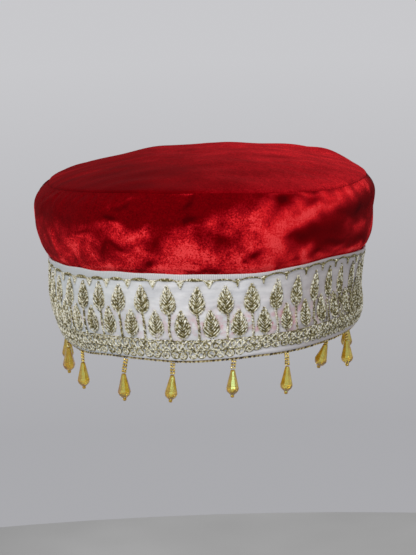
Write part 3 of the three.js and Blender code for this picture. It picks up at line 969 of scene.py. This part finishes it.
def make_band():
    angle = round_angles(SIDE_COLUMNS)[:, None]
    middle = [(height, 0.0) for height in MIDDLE_HEIGHTS]
    inner = [(height, -BAND_WALL) for height in INNER_HEIGHTS]
    height, out = np.array([*HEM_PROFILE, *middle, *FOLD_PROFILE, *inner]).T
    outside = out > -BAND_WALL
    arc = np.interp((angle + math.pi) % TURN - math.pi, ARC_ANGLES, ARC)
    wander = uneven("strip_wander", angle) * smoothstep(height, *WANDER_RANGE) * outside
    slide = strip_shift(arc) * smoothstep(height, SLIDE_FROM, FOLD_LOW) * outside * (height < BAND_TOP)
    slide *= (BAND_TOP - height) / (BAND_TOP - FOLD_LOW)
    points = side_point(angle, height + wander + slide, -out - cloth_relief(angle, height) * outside)
    stained = bell(height - BLUSH_HEIGHT, BLUSH_TALL) * outside
    layers = {
        "blush": stained * (BLUSH_LEAST + bell(turn_from(BLUSH_ANGLE, angle), BLUSH_REACH)),
        "fold": smoothstep(height, *FOLD_RANGE) * outside + 0 * angle,
        "arc": arc + 0 * height,
        "age": np.interp(arc, *PAINTED_SHADE_ENDS) * outside,
    }
    quads = round_quads(SIDE_COLUMNS, len(height), True)
    made = new_object("band_cloth", points, quads, band_cloth, layers)
    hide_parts("band")


# Embroidery. Upper leaves seen from the front, by their arc; the rest follow evenly round the back.
SEEN_LEAVES = [
    -96.3, -81.4, -67.5, -53.4, -37.8, -22.3, -6.4, 9.4, 24.4, 38.8, 52.2, 65.8, 78.1, 90.4, 106.5,
]
REPEATS = 43
HIDDEN_LEAVES = REPEATS - len(SEEN_LEAVES)
BACK_STEP = (ARC_LENGTH - SEEN_LEAVES[-1] + SEEN_LEAVES[0]) / (HIDDEN_LEAVES + 1)
LEAVES = np.concatenate([SEEN_LEAVES, SEEN_LEAVES[-1] + BACK_STEP * np.arange(1, HIDDEN_LEAVES + 1)])
BETWEEN = (LEAVES + np.append(LEAVES[1:], LEAVES[0] + ARC_LENGTH)) / 2

# Leaves of both rows: foot, length, half-width, and how much longer and slimmer they are at each arc.
UPPER_LEAF = {
    "foot": 27.6,
    "length": 17.0,
    "half_width": 4.5,
    "stretch": ((10, 24, 100, 130), (1, 1.1, 1.1, 1)),
    "slimmer": ((26, 39, 52, 66, 78, 90, 106, 130), (1, 0.86, 0.8, 0.7, 0.62, 0.66, 0.85, 1)),
}
LOWER_LEAF = {
    "foot": 13.6,
    "length": 16.8,
    "half_width": 4.4,
    "stretch": ((0,), (1,)),
    "slimmer": ((26, 39, 100, 130), (1, 0.86, 0.86, 1)),
}
LEAF_ROUND = 0.66
LEAF_FULL = 0.9

# Random spread of the leaves' tilt, length, width and tone, and of the shades round two means, whose bright
# strands are painted glints.
LEAF_TILT = 0.03
LENGTH_SPREAD = 0.02
WIDTH_SPREAD = 0.03
TONE_SPREAD = 0.07
STITCH_SHADES = (0.72, 1.0)
EDGE_SHADES = (0.4, 1.0)
SHADE_SPREAD = 0.15

# One stitch: places along it from end to end, and how it bows out in the middle.
STITCH_POINTS = 5
STITCH = np.linspace(-1, 1, STITCH_POINTS)
BOW = 1 - STITCH**2
ROPE_BOW = 0.2

# Satin stitches of half a leaf, traced from the rib to the edge in short steps that curl upwards.
LEAF_STITCHES = 9
TRACE = np.arange(120)
TRACE_STEP = 0.1
TRACE_LEAST = 8
TRACE_CURL = math.radians(3.2)
RIB_FOOT = 0.015
RIB_RUN = 0.77
RIB_GAP = 0.1
SLOPE_FOOT = 34
SLOPE_RUN = 32
FOOT_JITTER = 0.12
SLOPE_JITTER = 4
REACH_JITTER = (-3, 6)
SATIN_RISE = 0.42 + 0.5 * np.sin(math.pi * np.linspace(0.1, 0.9, STITCH_POINTS))
RISE_JITTER = 0.1

# Dashes along a leaf's edge, closer together at its foot.
EDGE_SHARES = np.linspace(0.03, 0.97, 12) ** 1.15
EDGE_SLANT = math.radians(32)
EDGE_INSET = 0.25
EDGE_OUT = 0.32
EDGE_HALF = 1.05

# The stuffed ground under a leaf, from its edge to near its middle: shares of the outline, and how far out.
# Its dark gold is partly its own and partly painted shade between the strands.
PAD_SIDES = 20
PAD_ROWS = [(1.0, -0.12), (1.0, 0.08), (0.86, 0.3), (0.55, 0.5)]
PAD_MIDDLE = 0.4
PAD_NARROWER = 0.6
PAD_SHORTER = 1.0
PAD_SHADE = 0.14


def as_paths(arc, height, out):
    return np.stack(np.broadcast_arrays(arc, height, out), -1)


def rope(arc, height, out, slant, half_length):
    """Slanted stitches side by side along a line of places on the band, as paths of (arc, height, out)."""
    line = np.stack([arc, height], -1)
    heading = np.gradient(line, axis=0)
    heading /= np.linalg.norm(heading, axis=-1, keepdims=True)
    c, s = math.cos(slant), math.sin(slant)
    along = np.stack([heading[:, 0] * c - heading[:, 1] * s, heading[:, 0] * s + heading[:, 1] * c], -1)
    flat = line[:, None] + along[:, None] * (half_length * STITCH)[:, None]
    return as_paths(flat[..., 0], flat[..., 1], np.reshape(out, (-1, 1)) + ROPE_BOW * BOW)


def loose(arc, height, slant, half_length, out):
    """Single stitches at places on the band, each with its own slant, as paths of (arc, height, out)."""
    reach = half_length * STITCH
    slant = slant[:, None]
    return as_paths(arc[:, None] + reach * np.cos(slant), height[:, None] + reach * np.sin(slant), out)


def leaf_half_width(share, half_width):
    """A leaf's half-width from its rounded foot (share 0) to its point (share 1)."""
    return half_width * np.sin(math.pi * np.clip(share, 0, 1) ** LEAF_ROUND) ** LEAF_FULL


def leaf_stitches(length, half_width, rng):
    """Satin stitches of one leaf, rising outwards from its rib to its edge: paths of (x, y, out)."""
    made = []
    for side in (-1, 1):
        for share in np.linspace(0, 1, LEAF_STITCHES):
            foot = length * (RIB_FOOT + RIB_RUN * share) + rng.normal(0, FOOT_JITTER)
            slope = math.radians(SLOPE_FOOT + SLOPE_RUN * share + rng.normal(0, SLOPE_JITTER))
            heading = slope + TRACE * TRACE_STEP * TRACE_CURL
            x = np.cumsum(np.cos(heading)) * TRACE_STEP
            y = foot + np.cumsum(np.sin(heading)) * TRACE_STEP
            inside = (x < leaf_half_width(y / length, half_width)) | (TRACE < TRACE_LEAST)
            reach = min(np.argmin(inside) + rng.integers(*REACH_JITTER), TRACE[-1])
            at = np.linspace(0, reach, STITCH_POINTS).round().astype(int)
            rise = SATIN_RISE + RISE_JITTER * rng.random()
            made.append(np.stack([side * (RIB_GAP + x[at]), y[at], rise], -1))
    return np.array(made)


def leaf_edge(length, half_width, side):
    """Slanted dashes along one edge of a leaf, as paths of (x, y, out)."""
    x = side * (leaf_half_width(EDGE_SHARES, half_width) - EDGE_INSET)
    return rope(x, EDGE_SHARES * length, EDGE_OUT, side * EDGE_SLANT, EDGE_HALF)


def leaf_pad(length, half_width):
    """Points (x, y, out) of the ground under one leaf, for each side and row."""
    up = np.linspace(0, 1, PAD_SIDES // 2 + 1)
    share = np.concatenate([up, up[-2:0:-1]])
    side = np.where(np.arange(PAD_SIDES) <= PAD_SIDES // 2, 1.0, -1.0)
    x, y = side * leaf_half_width(share, half_width - PAD_NARROWER), share * (length - PAD_SHORTER)
    middle = PAD_MIDDLE * length
    return np.stack([as_paths(x * s, middle + (y - middle) * s, out) for s, out in PAD_ROWS], 1)


def pad_quads():
    """Quads of the ground under one leaf, closed below and above by a ladder of quads."""
    rows = len(PAD_ROWS)
    edge = np.arange(PAD_SIDES) * rows
    ladder = np.array([(edge[k], edge[k + 1], edge[-k - 2], edge[-k - 1]) for k in range(PAD_SIDES // 2 - 1)])
    return np.concatenate([round_quads(PAD_SIDES, rows, False), ladder[:, ::-1], ladder + rows - 1])


def turned(local, centre, height, tilt):
    """Local (x, y, out) laid on the band at an arc and height, turned a little."""
    c, s = math.cos(tilt), math.sin(tilt)
    x, y = local[..., 0], local[..., 1]
    return np.stack([centre + x * c - y * s, height + x * s + y * c, local[..., 2]], -1)


def make_leaves(name, leaf, centres, seed):
    rng = np.random.default_rng(seed)
    threads = Strokes(rng)
    pads, tones = [], []
    for centre in centres:
        place = (centre, leaf["foot"], rng.normal(0, LEAF_TILT))
        length = leaf["length"] * rng.normal(1, LENGTH_SPREAD) * np.interp(centre, *leaf["stretch"])
        half_width = leaf["half_width"] * rng.normal(1, WIDTH_SPREAD) * np.interp(centre, *leaf["slimmer"])
        tone = rng.normal(0, TONE_SPREAD)
        paths = leaf_stitches(length, half_width, rng)
        shade = rng.choice(STITCH_SHADES, len(paths)) + tone
        threads.lay(turned(paths, *place), "leaf", shade, SHADE_SPREAD)
        for side in (-1, 1):
            paths = leaf_edge(length, half_width, side)
            shade = rng.choice(EDGE_SHADES, len(paths)) + tone
            threads.lay(turned(paths, *place), "leaf_edge", shade, SHADE_SPREAD)
        pads.append(turned(leaf_pad(length, half_width), *place))
        tones.append(tone)
    threads.make(name)
    points = band_point(*np.moveaxis(pads, -1, 0))
    each = PAD_SIDES * len(PAD_ROWS)
    quads = np.arange(len(centres))[:, None, None] * each + pad_quads()
    shade = np.repeat(PAD_SHADE + np.array(tones), each)
    layers = {"shade": shade, "along": 0 * shade}
    new_object(f"{name}_ground", points, quads, gold_thread, layers)


# Stems of the upper leaves, in slanted stitches: mean and spread of their bend, lean, sway and shade.
# They rise over the feet of the leaves.
STEM_TOP = 32.0
STEM_FOOT = 12.6
STEM_STITCHES = 15
STEM_SLANT = math.radians(36)
STEM_HALF = 1.35
STEM_BEND = (0.2, 0.3)
STEM_LEAN = (0.4, 0.4)
STEM_SWAY = (0, 0.25)
STEM_JITTER = 0.1
STEM_OUT = 0.38
STEM_RISE = 0.4
RISE_RANGE = (27, 30)
STEM_TONE = (0.45, 0.12)
STEM_SPREAD = 0.32


def make_stems():
    rng = np.random.default_rng(43)
    threads = Strokes(rng)
    share = np.linspace(0, 1, STEM_STITCHES)
    for centre in LEAVES:
        bend, lean, sway = rng.normal(*STEM_BEND), rng.normal(*STEM_LEAN), rng.normal(*STEM_SWAY)
        height = STEM_FOOT + (STEM_TOP - STEM_FOOT) * share + rng.normal(0, STEM_JITTER, STEM_STITCHES)
        arc = centre + lean * (1 - share) + bend * np.sin(math.pi * share) + sway * np.sin(TURN * share)
        out = STEM_OUT + STEM_RISE * smoothstep(height, *RISE_RANGE)
        paths = rope(arc, height, out, STEM_SLANT, STEM_HALF)
        threads.lay(paths, "stem", rng.normal(*STEM_TONE), STEM_SPREAD)
    threads.make("leaf_stems")


# Loose upright stitches that close the ground between the leaves at both ends of the front: arcs where
# they begin, are densest and end, lowest and highest place, and how many.
GROUND_ENDS = [
    {"arcs": (64, 112, 150), "heights": (13, 30), "count": 460},
    {"arcs": (-150, -118, -84), "heights": (13, 27), "count": 270},
]
GROUND_HALF = 1.3
GROUND_SPREAD = math.radians(25)
GROUND_OUT = 0.08 + 0.1 * BOW
GROUND_SHADE = (0.45, 0.3)


def make_ground_stitches():
    rng = np.random.default_rng(45)
    threads = Strokes(rng)
    for row in GROUND_ENDS:
        count = row["count"]
        arc = rng.triangular(*row["arcs"], count)
        height = rng.uniform(*row["heights"], count)
        slant = rng.normal(math.pi / 2, GROUND_SPREAD, count)
        threads.lay(loose(arc, height, slant, GROUND_HALF, GROUND_OUT), "ground", *GROUND_SHADE)
    threads.make("ground_stitches")


# Scallops under the folded edge, a little left of the leaves: a thick dash over each leaf, and thin ends.
ARCH_TOP = 48.1
ARCH_DROP = 2.4
ARCH_LEFT = 0.8
DASH_STITCHES = 18
DASH_SPREAD = 0.08
DASH_ROUND = 1.1
DASH_LEAN = 0.3
DASH_OUT = 0.34 + 0.16 * BOW
DASH_SHADE = (0.16, 0.09)
END_STITCHES = 4
END_SHARE = 0.93
END_OUT = 0.32
END_SLANT = 0.25
END_HALF = 0.95
END_SHADE = (0.45, 0.15)

# A satin point between two arches. Both are full on the left and round the back, and thin on the right.
POINT_TOP = 47.9
POINT_DEPTH = 5.0
POINT_HALF = 3.0
POINT_TIP = 0.3
POINT_SLOPE = 0.15
POINT_ROWS = 7
POINT_FROM = 0.4
POINT_OUT = 0.3 + 0.4 * BOW
POINT_SPREAD = 0.12
FULL_POINTS_TO = 8.0
FULL_ARCH = {"share": 0.58, "height": 1.0, "power": 4, "shade": 1.0}
THIN_ARCH = {"share": 0.8, "height": 0.55, "power": 2.4, "shade": 0.35}
FULL_WIDTH = (1, 0.1)
THIN_WIDTH = 0.45


def arch_height(share, arc, power):
    return ARCH_TOP + strip_shift(arc) - ARCH_DROP * np.abs(share) ** power


def make_scallops():
    rng = np.random.default_rng(44)
    dashes, points = Strokes(rng), Strokes(rng)
    for i, right in enumerate(BETWEEN):
        left = BETWEEN[i - 1] - (ARC_LENGTH if i == 0 else 0)
        centre, half = (left + right) / 2 - ARCH_LEFT, (right - left) / 2
        full = right < FULL_POINTS_TO or right > SEEN_LEAVES[-1]
        arch = FULL_ARCH if full else THIN_ARCH
        dash_half = arch["share"] * rng.normal(1, DASH_SPREAD)
        share = np.linspace(-dash_half, dash_half, DASH_STITCHES)
        upright = STITCH * arch["height"] * np.sqrt(DASH_ROUND - (share / dash_half) ** 2)[:, None]
        arc = centre + half * share[:, None] + DASH_LEAN * upright
        height = arch_height(share, centre, arch["power"])[:, None] + upright
        dashes.lay(as_paths(arc, height, DASH_OUT), "dash", *DASH_SHADE)
        for side in (-1, 1):
            share = side * np.linspace(dash_half, END_SHARE, END_STITCHES)
            height = arch_height(share, centre, arch["power"])
            paths = rope(centre + half * share, height, END_OUT, END_SLANT * side, END_HALF)
            dashes.lay(paths, "dash_end", *END_SHADE)
        width = rng.normal(*FULL_WIDTH) if full else THIN_WIDTH
        share = (np.arange(POINT_ROWS) + POINT_FROM) / POINT_ROWS
        arc = right - ARCH_LEFT + ((POINT_HALF * (1 - share) + POINT_TIP) * width)[:, None] * STITCH
        height = (POINT_TOP + strip_shift(right) - POINT_DEPTH * share)[:, None] + POINT_SLOPE * STITCH
        points.lay(as_paths(arc, height, POINT_OUT), "point", arch["shade"], POINT_SPREAD)
    dashes.make("scallop_stitches")
    points.make("satin_points")


# Braid border: a bright and a dark thread side by side, the dark one lower as painted shade under the bright
# one, crossed into cells with a small loop in each, between stitched lines painted darker as shade, and a row
# of larger loops along the hem.
BRIGHT = 0.95
DARK = 0.2
PAIR_GAP = 0.55
BORDER_TOP = 12.2
CELL_HEIGHT = 9.2
CELL_REACH = 2.6
CELL_TURNS = 62
CELL_POINTS = 1240
CELL_OUT = 0.45
CELL_RISE = 0.25
DARK_LOWER = 0.1
LINES = [BORDER_TOP, 6.3]
LINE_STITCHES = 430
LINE_JITTER = 0.12
LINE_OUT = 0.42
LINE_SLANT = math.radians(20)
LINE_HALF = 1.1
LINE_SHADE = (0.4, 0.35)

# Loops: rows of them, the open turn of each, how far they stray along and up, and their pairs of threads
# (how much larger, how far out, shade): the larger, dark thread is painted shade round the bright one. Loose
# stitches fill the ground of the larger loops.
LOOPS = [
    {"height": 9.2, "half_width": 1.0, "half_height": 1.3, "count": 124},
    {"height": 3.5, "half_width": 1.9, "half_height": 1.75, "count": 115},
]
LOOP_TURN = np.linspace(0.1, TURN - 0.1, 11)
LOOP_ALONG = 0.25
LOOP_UP = 0.15
LOOP_PAIR = [(0, 0.5, BRIGHT), (PAIR_GAP, 0.38, DARK)]
LOOP_SPREAD = 0.2
FILL_LAYERS = 3
FILL_HALF = 1.2
FILL_ALONG = 0.7
FILL_UP = 0.8
FILL_OUT = 0.4 + 0.2 * BOW
FILL_SHADE = (0.6, 0.35)

# The border is narrower at the right front, and leaves more of the hem bare there.
NARROWED = ((14, 30, 45, 62, 110, 140), (1, 0.72, 0.74, 0.85, 0.87, 1))


def in_border(arc, height):
    return BORDER_TOP - (BORDER_TOP - height) * np.interp(arc, *NARROWED)


def ring_arcs(count):
    return SEEN_LEAVES[0] + np.arange(count) * ARC_LENGTH / count


def make_border_braid():
    threads = Strokes()
    arc = ring_arcs(CELL_POINTS)
    turn = arc / ARC_LENGTH * TURN
    for strand in range(2):
        phase = turn * CELL_TURNS + math.pi * strand
        level = CELL_HEIGHT + CELL_REACH * np.sin(phase) + uneven("braid", turn, copy=strand)
        height = in_border(arc, level)
        out = CELL_OUT + CELL_RISE * np.sin(2 * phase)
        threads.lay(as_paths(arc, height, out)[None], "bright_braid", BRIGHT, closed=True)
        threads.lay(as_paths(arc, height - PAIR_GAP, out - DARK_LOWER)[None], "dark_braid", DARK, closed=True)
    threads.make("border_braid")


def make_border_lines(rng):
    threads = Strokes(rng)
    arc = ring_arcs(LINE_STITCHES)
    for height in LINES:
        level = in_border(arc, height + rng.normal(0, LINE_JITTER, LINE_STITCHES))
        threads.lay(rope(arc, level, LINE_OUT, LINE_SLANT, LINE_HALF), "line", *LINE_SHADE)
    threads.make("border_lines")


def make_border_loops(rng):
    threads = Strokes(rng)
    for row in LOOPS:
        count = row["count"]
        middle = ring_arcs(count)[:, None] + rng.normal(0, LOOP_ALONG, (count, 1))
        level = row["height"] + rng.normal(0, LOOP_UP, (count, 1))
        for larger, out, shade in LOOP_PAIR:
            arc = middle + (row["half_width"] + larger) * np.sin(LOOP_TURN)
            height = in_border(arc, level + (row["half_height"] + larger) * np.cos(LOOP_TURN))
            threads.lay(as_paths(arc, height, out), "loop", shade, LOOP_SPREAD)
    hem = LOOPS[-1]
    count = hem["count"]
    for _ in range(FILL_LAYERS):
        arc = ring_arcs(count) + rng.normal(0, FILL_ALONG, count)
        height = in_border(arc, hem["height"] + rng.normal(0, FILL_UP, count))
        slant = rng.uniform(0, math.pi, count)
        threads.lay(loose(arc, height, slant, FILL_HALF, FILL_OUT), "loop", *FILL_SHADE)
    threads.make("border_loops")


def make_border():
    rng = np.random.default_rng(53)
    make_border_braid()
    make_border_lines(rng)
    make_border_loops(rng)


# The rim cord: two plies twisted along the lower edge, whose shade changes every few points, painted glints
# and painted shade.
PLY_POINTS = 1560
PLY_SIDES = 6
PLY_TWISTS = 230
PLY_SPREAD = 0.4
PLY_RADIUS = 0.42
PLY_SHADE = (0.6, 0.35)
SHADE_POINTS = 6


def cord_point(angle):
    point = side_point(angle, RIM, CORD_INSET)
    point[..., 2] -= GAP + CORD_RADIUS
    return point


def make_rim_cord():
    rng = np.random.default_rng(61)
    angle = round_angles(PLY_POINTS)
    side = round_angles(PLY_SIDES)[:, None]
    out = np.stack([np.sin(angle), -np.cos(angle), 0 * angle], -1)
    up = np.array([0.0, 0.0, 1.0])
    around = out[:, None] * np.cos(side) + up * np.sin(side)
    points, quads, shade = [], [], []
    for ply in range(2):
        turn = (angle * PLY_TWISTS + math.pi * ply)[:, None]
        spread = (PLY_SPREAD + uneven("ply", angle, copy=ply))[:, None]
        line = cord_point(angle) + spread * (out * np.cos(turn) + up * np.sin(turn))
        points.append(line[:, None] + PLY_RADIUS * around)
        quads.append(ply * PLY_POINTS * PLY_SIDES + round_quads(PLY_POINTS, PLY_SIDES, True))
        shade.append(np.clip(rng.normal(*PLY_SHADE, PLY_POINTS // SHADE_POINTS), 0, 1))
    along = np.repeat(angle * SECTIONS[0, 3], PLY_SIDES)
    layers = {"shade": np.repeat(shade, SHADE_POINTS * PLY_SIDES), "along": np.tile(along, 2)}
    made = new_object("rim_twist", np.array(points), np.array(quads), rim_gold, layers)
    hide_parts("rim_cord")


# Seed beads, in two columns: profile (radius, height), the light on it, spacing, and random spread.
BEAD_PROFILE = mirrored([(0.2, 0.5), (0.36, 0.74), (0.58, 0.62), (0.74, 0.3)])
BEAD_LIGHT = [0.0, 0.1, 0.45, 1.0, 1.0, 0.45, 0.1, 0.0]
BEAD_SIDES = 12
BEAD_PITCH = 1.6
BEAD_APART = 0.76
BEAD_LAP = 0.3
BEAD_JITTER = 0.06
BEAD_TIP = 0.2
BEAD_SHINE = (0.6, 1)


def hanger(angle, lean, swing):
    """Place and axes of one string, as the solids hang."""
    turn, tilt, inward = math.radians(angle), math.radians(lean), math.radians(swing)
    place = cord_point(np.array([turn]))[0]
    place[2] -= CORD_RADIUS + GAP + STRING_RADIUS * math.hypot(math.sin(tilt), math.sin(inward))
    axes = Matrix.Rotation(turn, 3, "Z") @ Matrix.Rotation(-tilt, 3, "Y") @ Matrix.Rotation(inward, 3, "X")
    return place, np.array(axes)


def make_strings():
    bead, bead_quads = lathe(BEAD_PROFILE, BEAD_SIDES)
    for i, (angle, length, lean, _, swing) in enumerate(DROPS):
        rng = np.random.default_rng(70 + i)
        place, axes = hanger(angle, lean, swing)
        rows = max(1, round((length + BEAD_LAP) / BEAD_PITCH))
        points, quads, light = [], [], []
        for row in range(rows):
            down = BEAD_LAP - (row + 0.5) * (length + BEAD_LAP) / rows
            for side in (-1, 1):
                offset = np.array([side * BEAD_APART, 0, down]) + rng.normal(0, BEAD_JITTER, 3)
                tip = Matrix.Rotation(rng.normal(0, BEAD_TIP), 3, "X")
                tip = tip @ Matrix.Rotation(rng.normal(0, BEAD_TIP), 3, "Y")
                quads.append(len(points) * len(bead) + bead_quads)
                points.append((bead @ np.array(tip).T + offset) @ axes.T + place)
                light.append(np.tile(BEAD_LIGHT, BEAD_SIDES) * rng.uniform(*BEAD_SHINE))
        name = f"seed_beads_{i + 1:02d}"
        layers = {"light": np.array(light)}
        made = new_object(name, np.array(points), np.array(quads), gold_bead, layers)
        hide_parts(f"bead_string_{i + 1:02d}")


# A drop from its top down: depth, radius, turn in facets. Long facets reach the girdle, short ones end it.
DROP_FACETS = 8
DROP_ROWS = [(0, 1.2, 0), (0.6, 1.45, 0), (10.4, 3.8, 0), (12.4, 3.1, 0.5), (14, 1.3, 0)]
DROP_BEVEL = 0.2

# Drops show a flat facet at the front, give or take a little, or an edge for those listed.
DROP_TURN = TURN / 16
SPIN_JITTER = 0.08
EDGE_ON = (0,)

# Tints of the glass, from deep orange (0) to pale green (1): of the facets with their change from side to
# side and from one to the next, of the facets' edges, and of the stop bead. The facets' change is painted
# light and
# shade: pale green front and back, deeper orange at the sides and on the darker edges.
FACET_TINT = 0.58
FACET_SWING = 0.34
FACET_JITTER = 0.1
EDGE_TINT = 0.36
STOP_TINT = 0.45
STOP_PROFILE = mirrored([(0.3, 0.75), (0.6, 0.95), (0.9, 0.75), (1.08, 0.3)])
STOP_DEPTH = 14.75


def add_facets(work):
    """The facets of a drop, between rings of corners."""
    rings = []
    for depth, radius, turn in DROP_ROWS:
        corners = [TURN * (i + turn) / DROP_FACETS for i in range(DROP_FACETS)]
        rings.append([work.verts.new((radius * math.cos(a), radius * math.sin(a), -depth)) for a in corners])
    work.faces.new(rings[0])
    work.faces.new(rings[-1][::-1])
    for k in range(len(rings) - 1):
        high, low = rings[k], rings[k + 1]
        twist = DROP_ROWS[k + 1][2] - DROP_ROWS[k][2]
        for i in range(DROP_FACETS):
            after = (i + 1) % DROP_FACETS
            if twist == 0:
                work.faces.new((high[i], low[i], low[after], high[after]))
            elif twist > 0:
                work.faces.new((high[i], low[i], high[after]))
                work.faces.new((low[i], low[after], high[after]))
            else:
                work.faces.new((high[i], low[i], low[after]))
                work.faces.new((high[i], low[after], high[after]))
    bmesh.ops.recalc_face_normals(work, faces=work.faces)


def drop_mesh():
    """A faceted teardrop with its edges softened, and the stop bead under it."""
    work = bmesh.new()
    add_facets(work)
    tint = work.faces.layers.float.new("tint")
    rng = np.random.default_rng(89)
    for face in work.faces:
        # Painted light and shade: facets paler front and back, deeper orange at the sides.
        middle = face.calc_center_median()
        change = FACET_SWING * math.cos(2 * math.atan2(middle.x, -middle.y))
        face[tint] = FACET_TINT + change + rng.normal(0, FACET_JITTER)
    edges = list(work.edges)
    cut = bmesh.ops.bevel(work, geom=edges, offset=DROP_BEVEL, segments=1, affect="EDGES", profile=0.5)
    for face in cut["faces"]:
        face[tint] = EDGE_TINT
    bead, bead_quads = lathe(STOP_PROFILE, BEAD_SIDES)
    corners = [work.verts.new((x, y, z - STOP_DEPTH)) for x, y, z in bead]
    for quad in bead_quads:
        face = work.faces.new([corners[i] for i in quad])
        face.smooth = True
        face[tint] = STOP_TINT
    mesh = bpy.data.meshes.new("amber_drop")
    work.to_mesh(mesh)
    work.free()
    mesh.transform(Matrix.Scale(MM, 4))
    mesh.materials.append(amber)
    return mesh


def make_drops():
    mesh = drop_mesh()
    for i, (angle, length, lean, hang, swing) in enumerate(DROPS):
        place, axes = hanger(angle, lean, swing)
        bend = math.radians(hang - lean)
        place += axes @ np.array([0, 0, -length - GAP - DROP_ROWS[0][1] * abs(math.sin(bend))])
        axes = axes @ np.array(Matrix.Rotation(-bend, 3, "Y"))
        turn = DROP_TURN - math.radians(angle) + np.random.default_rng(90 + i).normal(0, SPIN_JITTER)
        if i in EDGE_ON:
            turn += TURN / DROP_FACETS / 2
        matrix = Matrix.Translation(Vector(place * MM)) @ Matrix(axes.tolist()).to_4x4()
        matrix = matrix @ Matrix.Rotation(turn, 4, "Z")
        made = add_piece(f"amber_drop_{i + 1:02d}", mesh, matrix)
        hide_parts(f"drop_{i + 1:02d}")


# Floor, in metres, and the clouds of its colour.
FLOOR_HEIGHT = -0.91
FLOOR_RADIUS = 2.5
FLOOR_SIDES = 128
FLOOR_SOCKETS = {"Roughness": 0.8}
FLOOR_CLOUD = (3, 2, 0.5)
FLOOR_STOPS = [(0.3, (0.42, 0.42, 0.41)), (0.7, (0.5, 0.5, 0.49))]


def make_floor():
    place = (0, 0, FLOOR_HEIGHT)
    size = {"vertices": FLOOR_SIDES, "radius": FLOOR_RADIUS}
    bpy.ops.mesh.primitive_circle_add(fill_type="NGON", location=place, **size)
    floor = bpy.context.object
    floor.name = "floor"
    look = Look("pale_floor", FLOOR_SOCKETS)
    look.paint(look.ramp(look.noise(FLOOR_CLOUD), FLOOR_STOPS))
    floor.data.materials.append(look.material)


# A plain pale wall from its foot up, and the directions between which it changes.
WALL_STOPS = [(0.2, (0.4, 0.4, 0.42)), (0.8, (0.58, 0.58, 0.6))]
WALL_UP = (-0.32, 0.0)


def make_world():
    """A plain pale wall all round, lighter above."""
    world = bpy.data.worlds.new("studio")
    bpy.context.scene.world = world
    world.use_nodes = True
    nodes = Nodes(world.node_tree, "Generated")
    up = nodes.add("ShaderNodeSeparateXYZ", {"Vector": nodes.place}).outputs["Z"]
    background = world.node_tree.nodes["Background"].inputs
    nodes.feed(background["Color"], nodes.ramp(nodes.share(up, *WALL_UP), WALL_STOPS))
    nodes.feed(background["Strength"], 1.0)


# Soft lamps: name, place and aim in metres, size, power, colour.
LAMPS = [
    ("key", (-0.6, -1.8, 1.5), (0, 0, 0.05), 0.8, 27, (1.0, 0.98, 0.95)),
    ("glint", (0.36, -1.9, 0.34), (0, 0, 0), 0.24, 0.7, (1.0, 0.99, 0.97)),
    ("back", (0.5, 1.6, 1.5), (0, 0, 0.08), 0.8, 12, (1.0, 0.98, 0.96)),
]


def make_lamps():
    for name, place, aim, size, power, colour in LAMPS:
        lamp = bpy.data.lights.new(name, "AREA")
        lamp.size = size
        lamp.energy = power
        lamp.color = colour
        made = bpy.data.objects.new(name, lamp)
        made.location = place
        made.rotation_euler = (Vector(aim) - Vector(place)).to_track_quat("-Z", "Y").to_euler()
        bpy.context.scene.collection.objects.link(made)


# Camera at the photograph's viewing angle, turned a little about its own axis.
CAMERA_PLACE = (0, -1.1, 0.229585)
CAMERA_PITCH = 0.17951
CAMERA_ROLL = 0.03332
FOCAL_PIXELS = 1855.0
LONG_SIDE = 555
SENSOR = 36.0
CENTRE_SHIFT = 0.6


def make_camera():
    data = bpy.data.cameras.new("camera")
    data.sensor_width = SENSOR
    data.lens = FOCAL_PIXELS / LONG_SIDE * SENSOR
    data.shift_x = CENTRE_SHIFT / LONG_SIDE
    made = bpy.data.objects.new("camera", data)
    right = Vector((1, 0, 0))
    up = Vector((0, math.sin(CAMERA_PITCH), math.cos(CAMERA_PITCH)))
    axis_x = math.cos(CAMERA_ROLL) * right - math.sin(CAMERA_ROLL) * up
    axis_y = math.sin(CAMERA_ROLL) * right + math.cos(CAMERA_ROLL) * up
    axes = Matrix((axis_x, axis_y, axis_x.cross(axis_y))).transposed()
    made.matrix_world = Matrix.Translation(CAMERA_PLACE) @ axes.to_4x4()
    bpy.context.scene.collection.objects.link(made)
    bpy.context.scene.camera = made


# The whole scene, piece by piece.
make_crown_side()
make_crown_top()
make_band()
make_leaves("upper_leaves", UPPER_LEAF, LEAVES, 41)
make_leaves("lower_leaves", LOWER_LEAF, BETWEEN, 42)
make_stems()
make_ground_stitches()
make_scallops()
make_border()
make_rim_cord()
make_strings()
make_drops()
make_floor()
make_world()
make_lamps()
make_camera()
bpy.context.scene.view_settings.view_transform = "Standard"
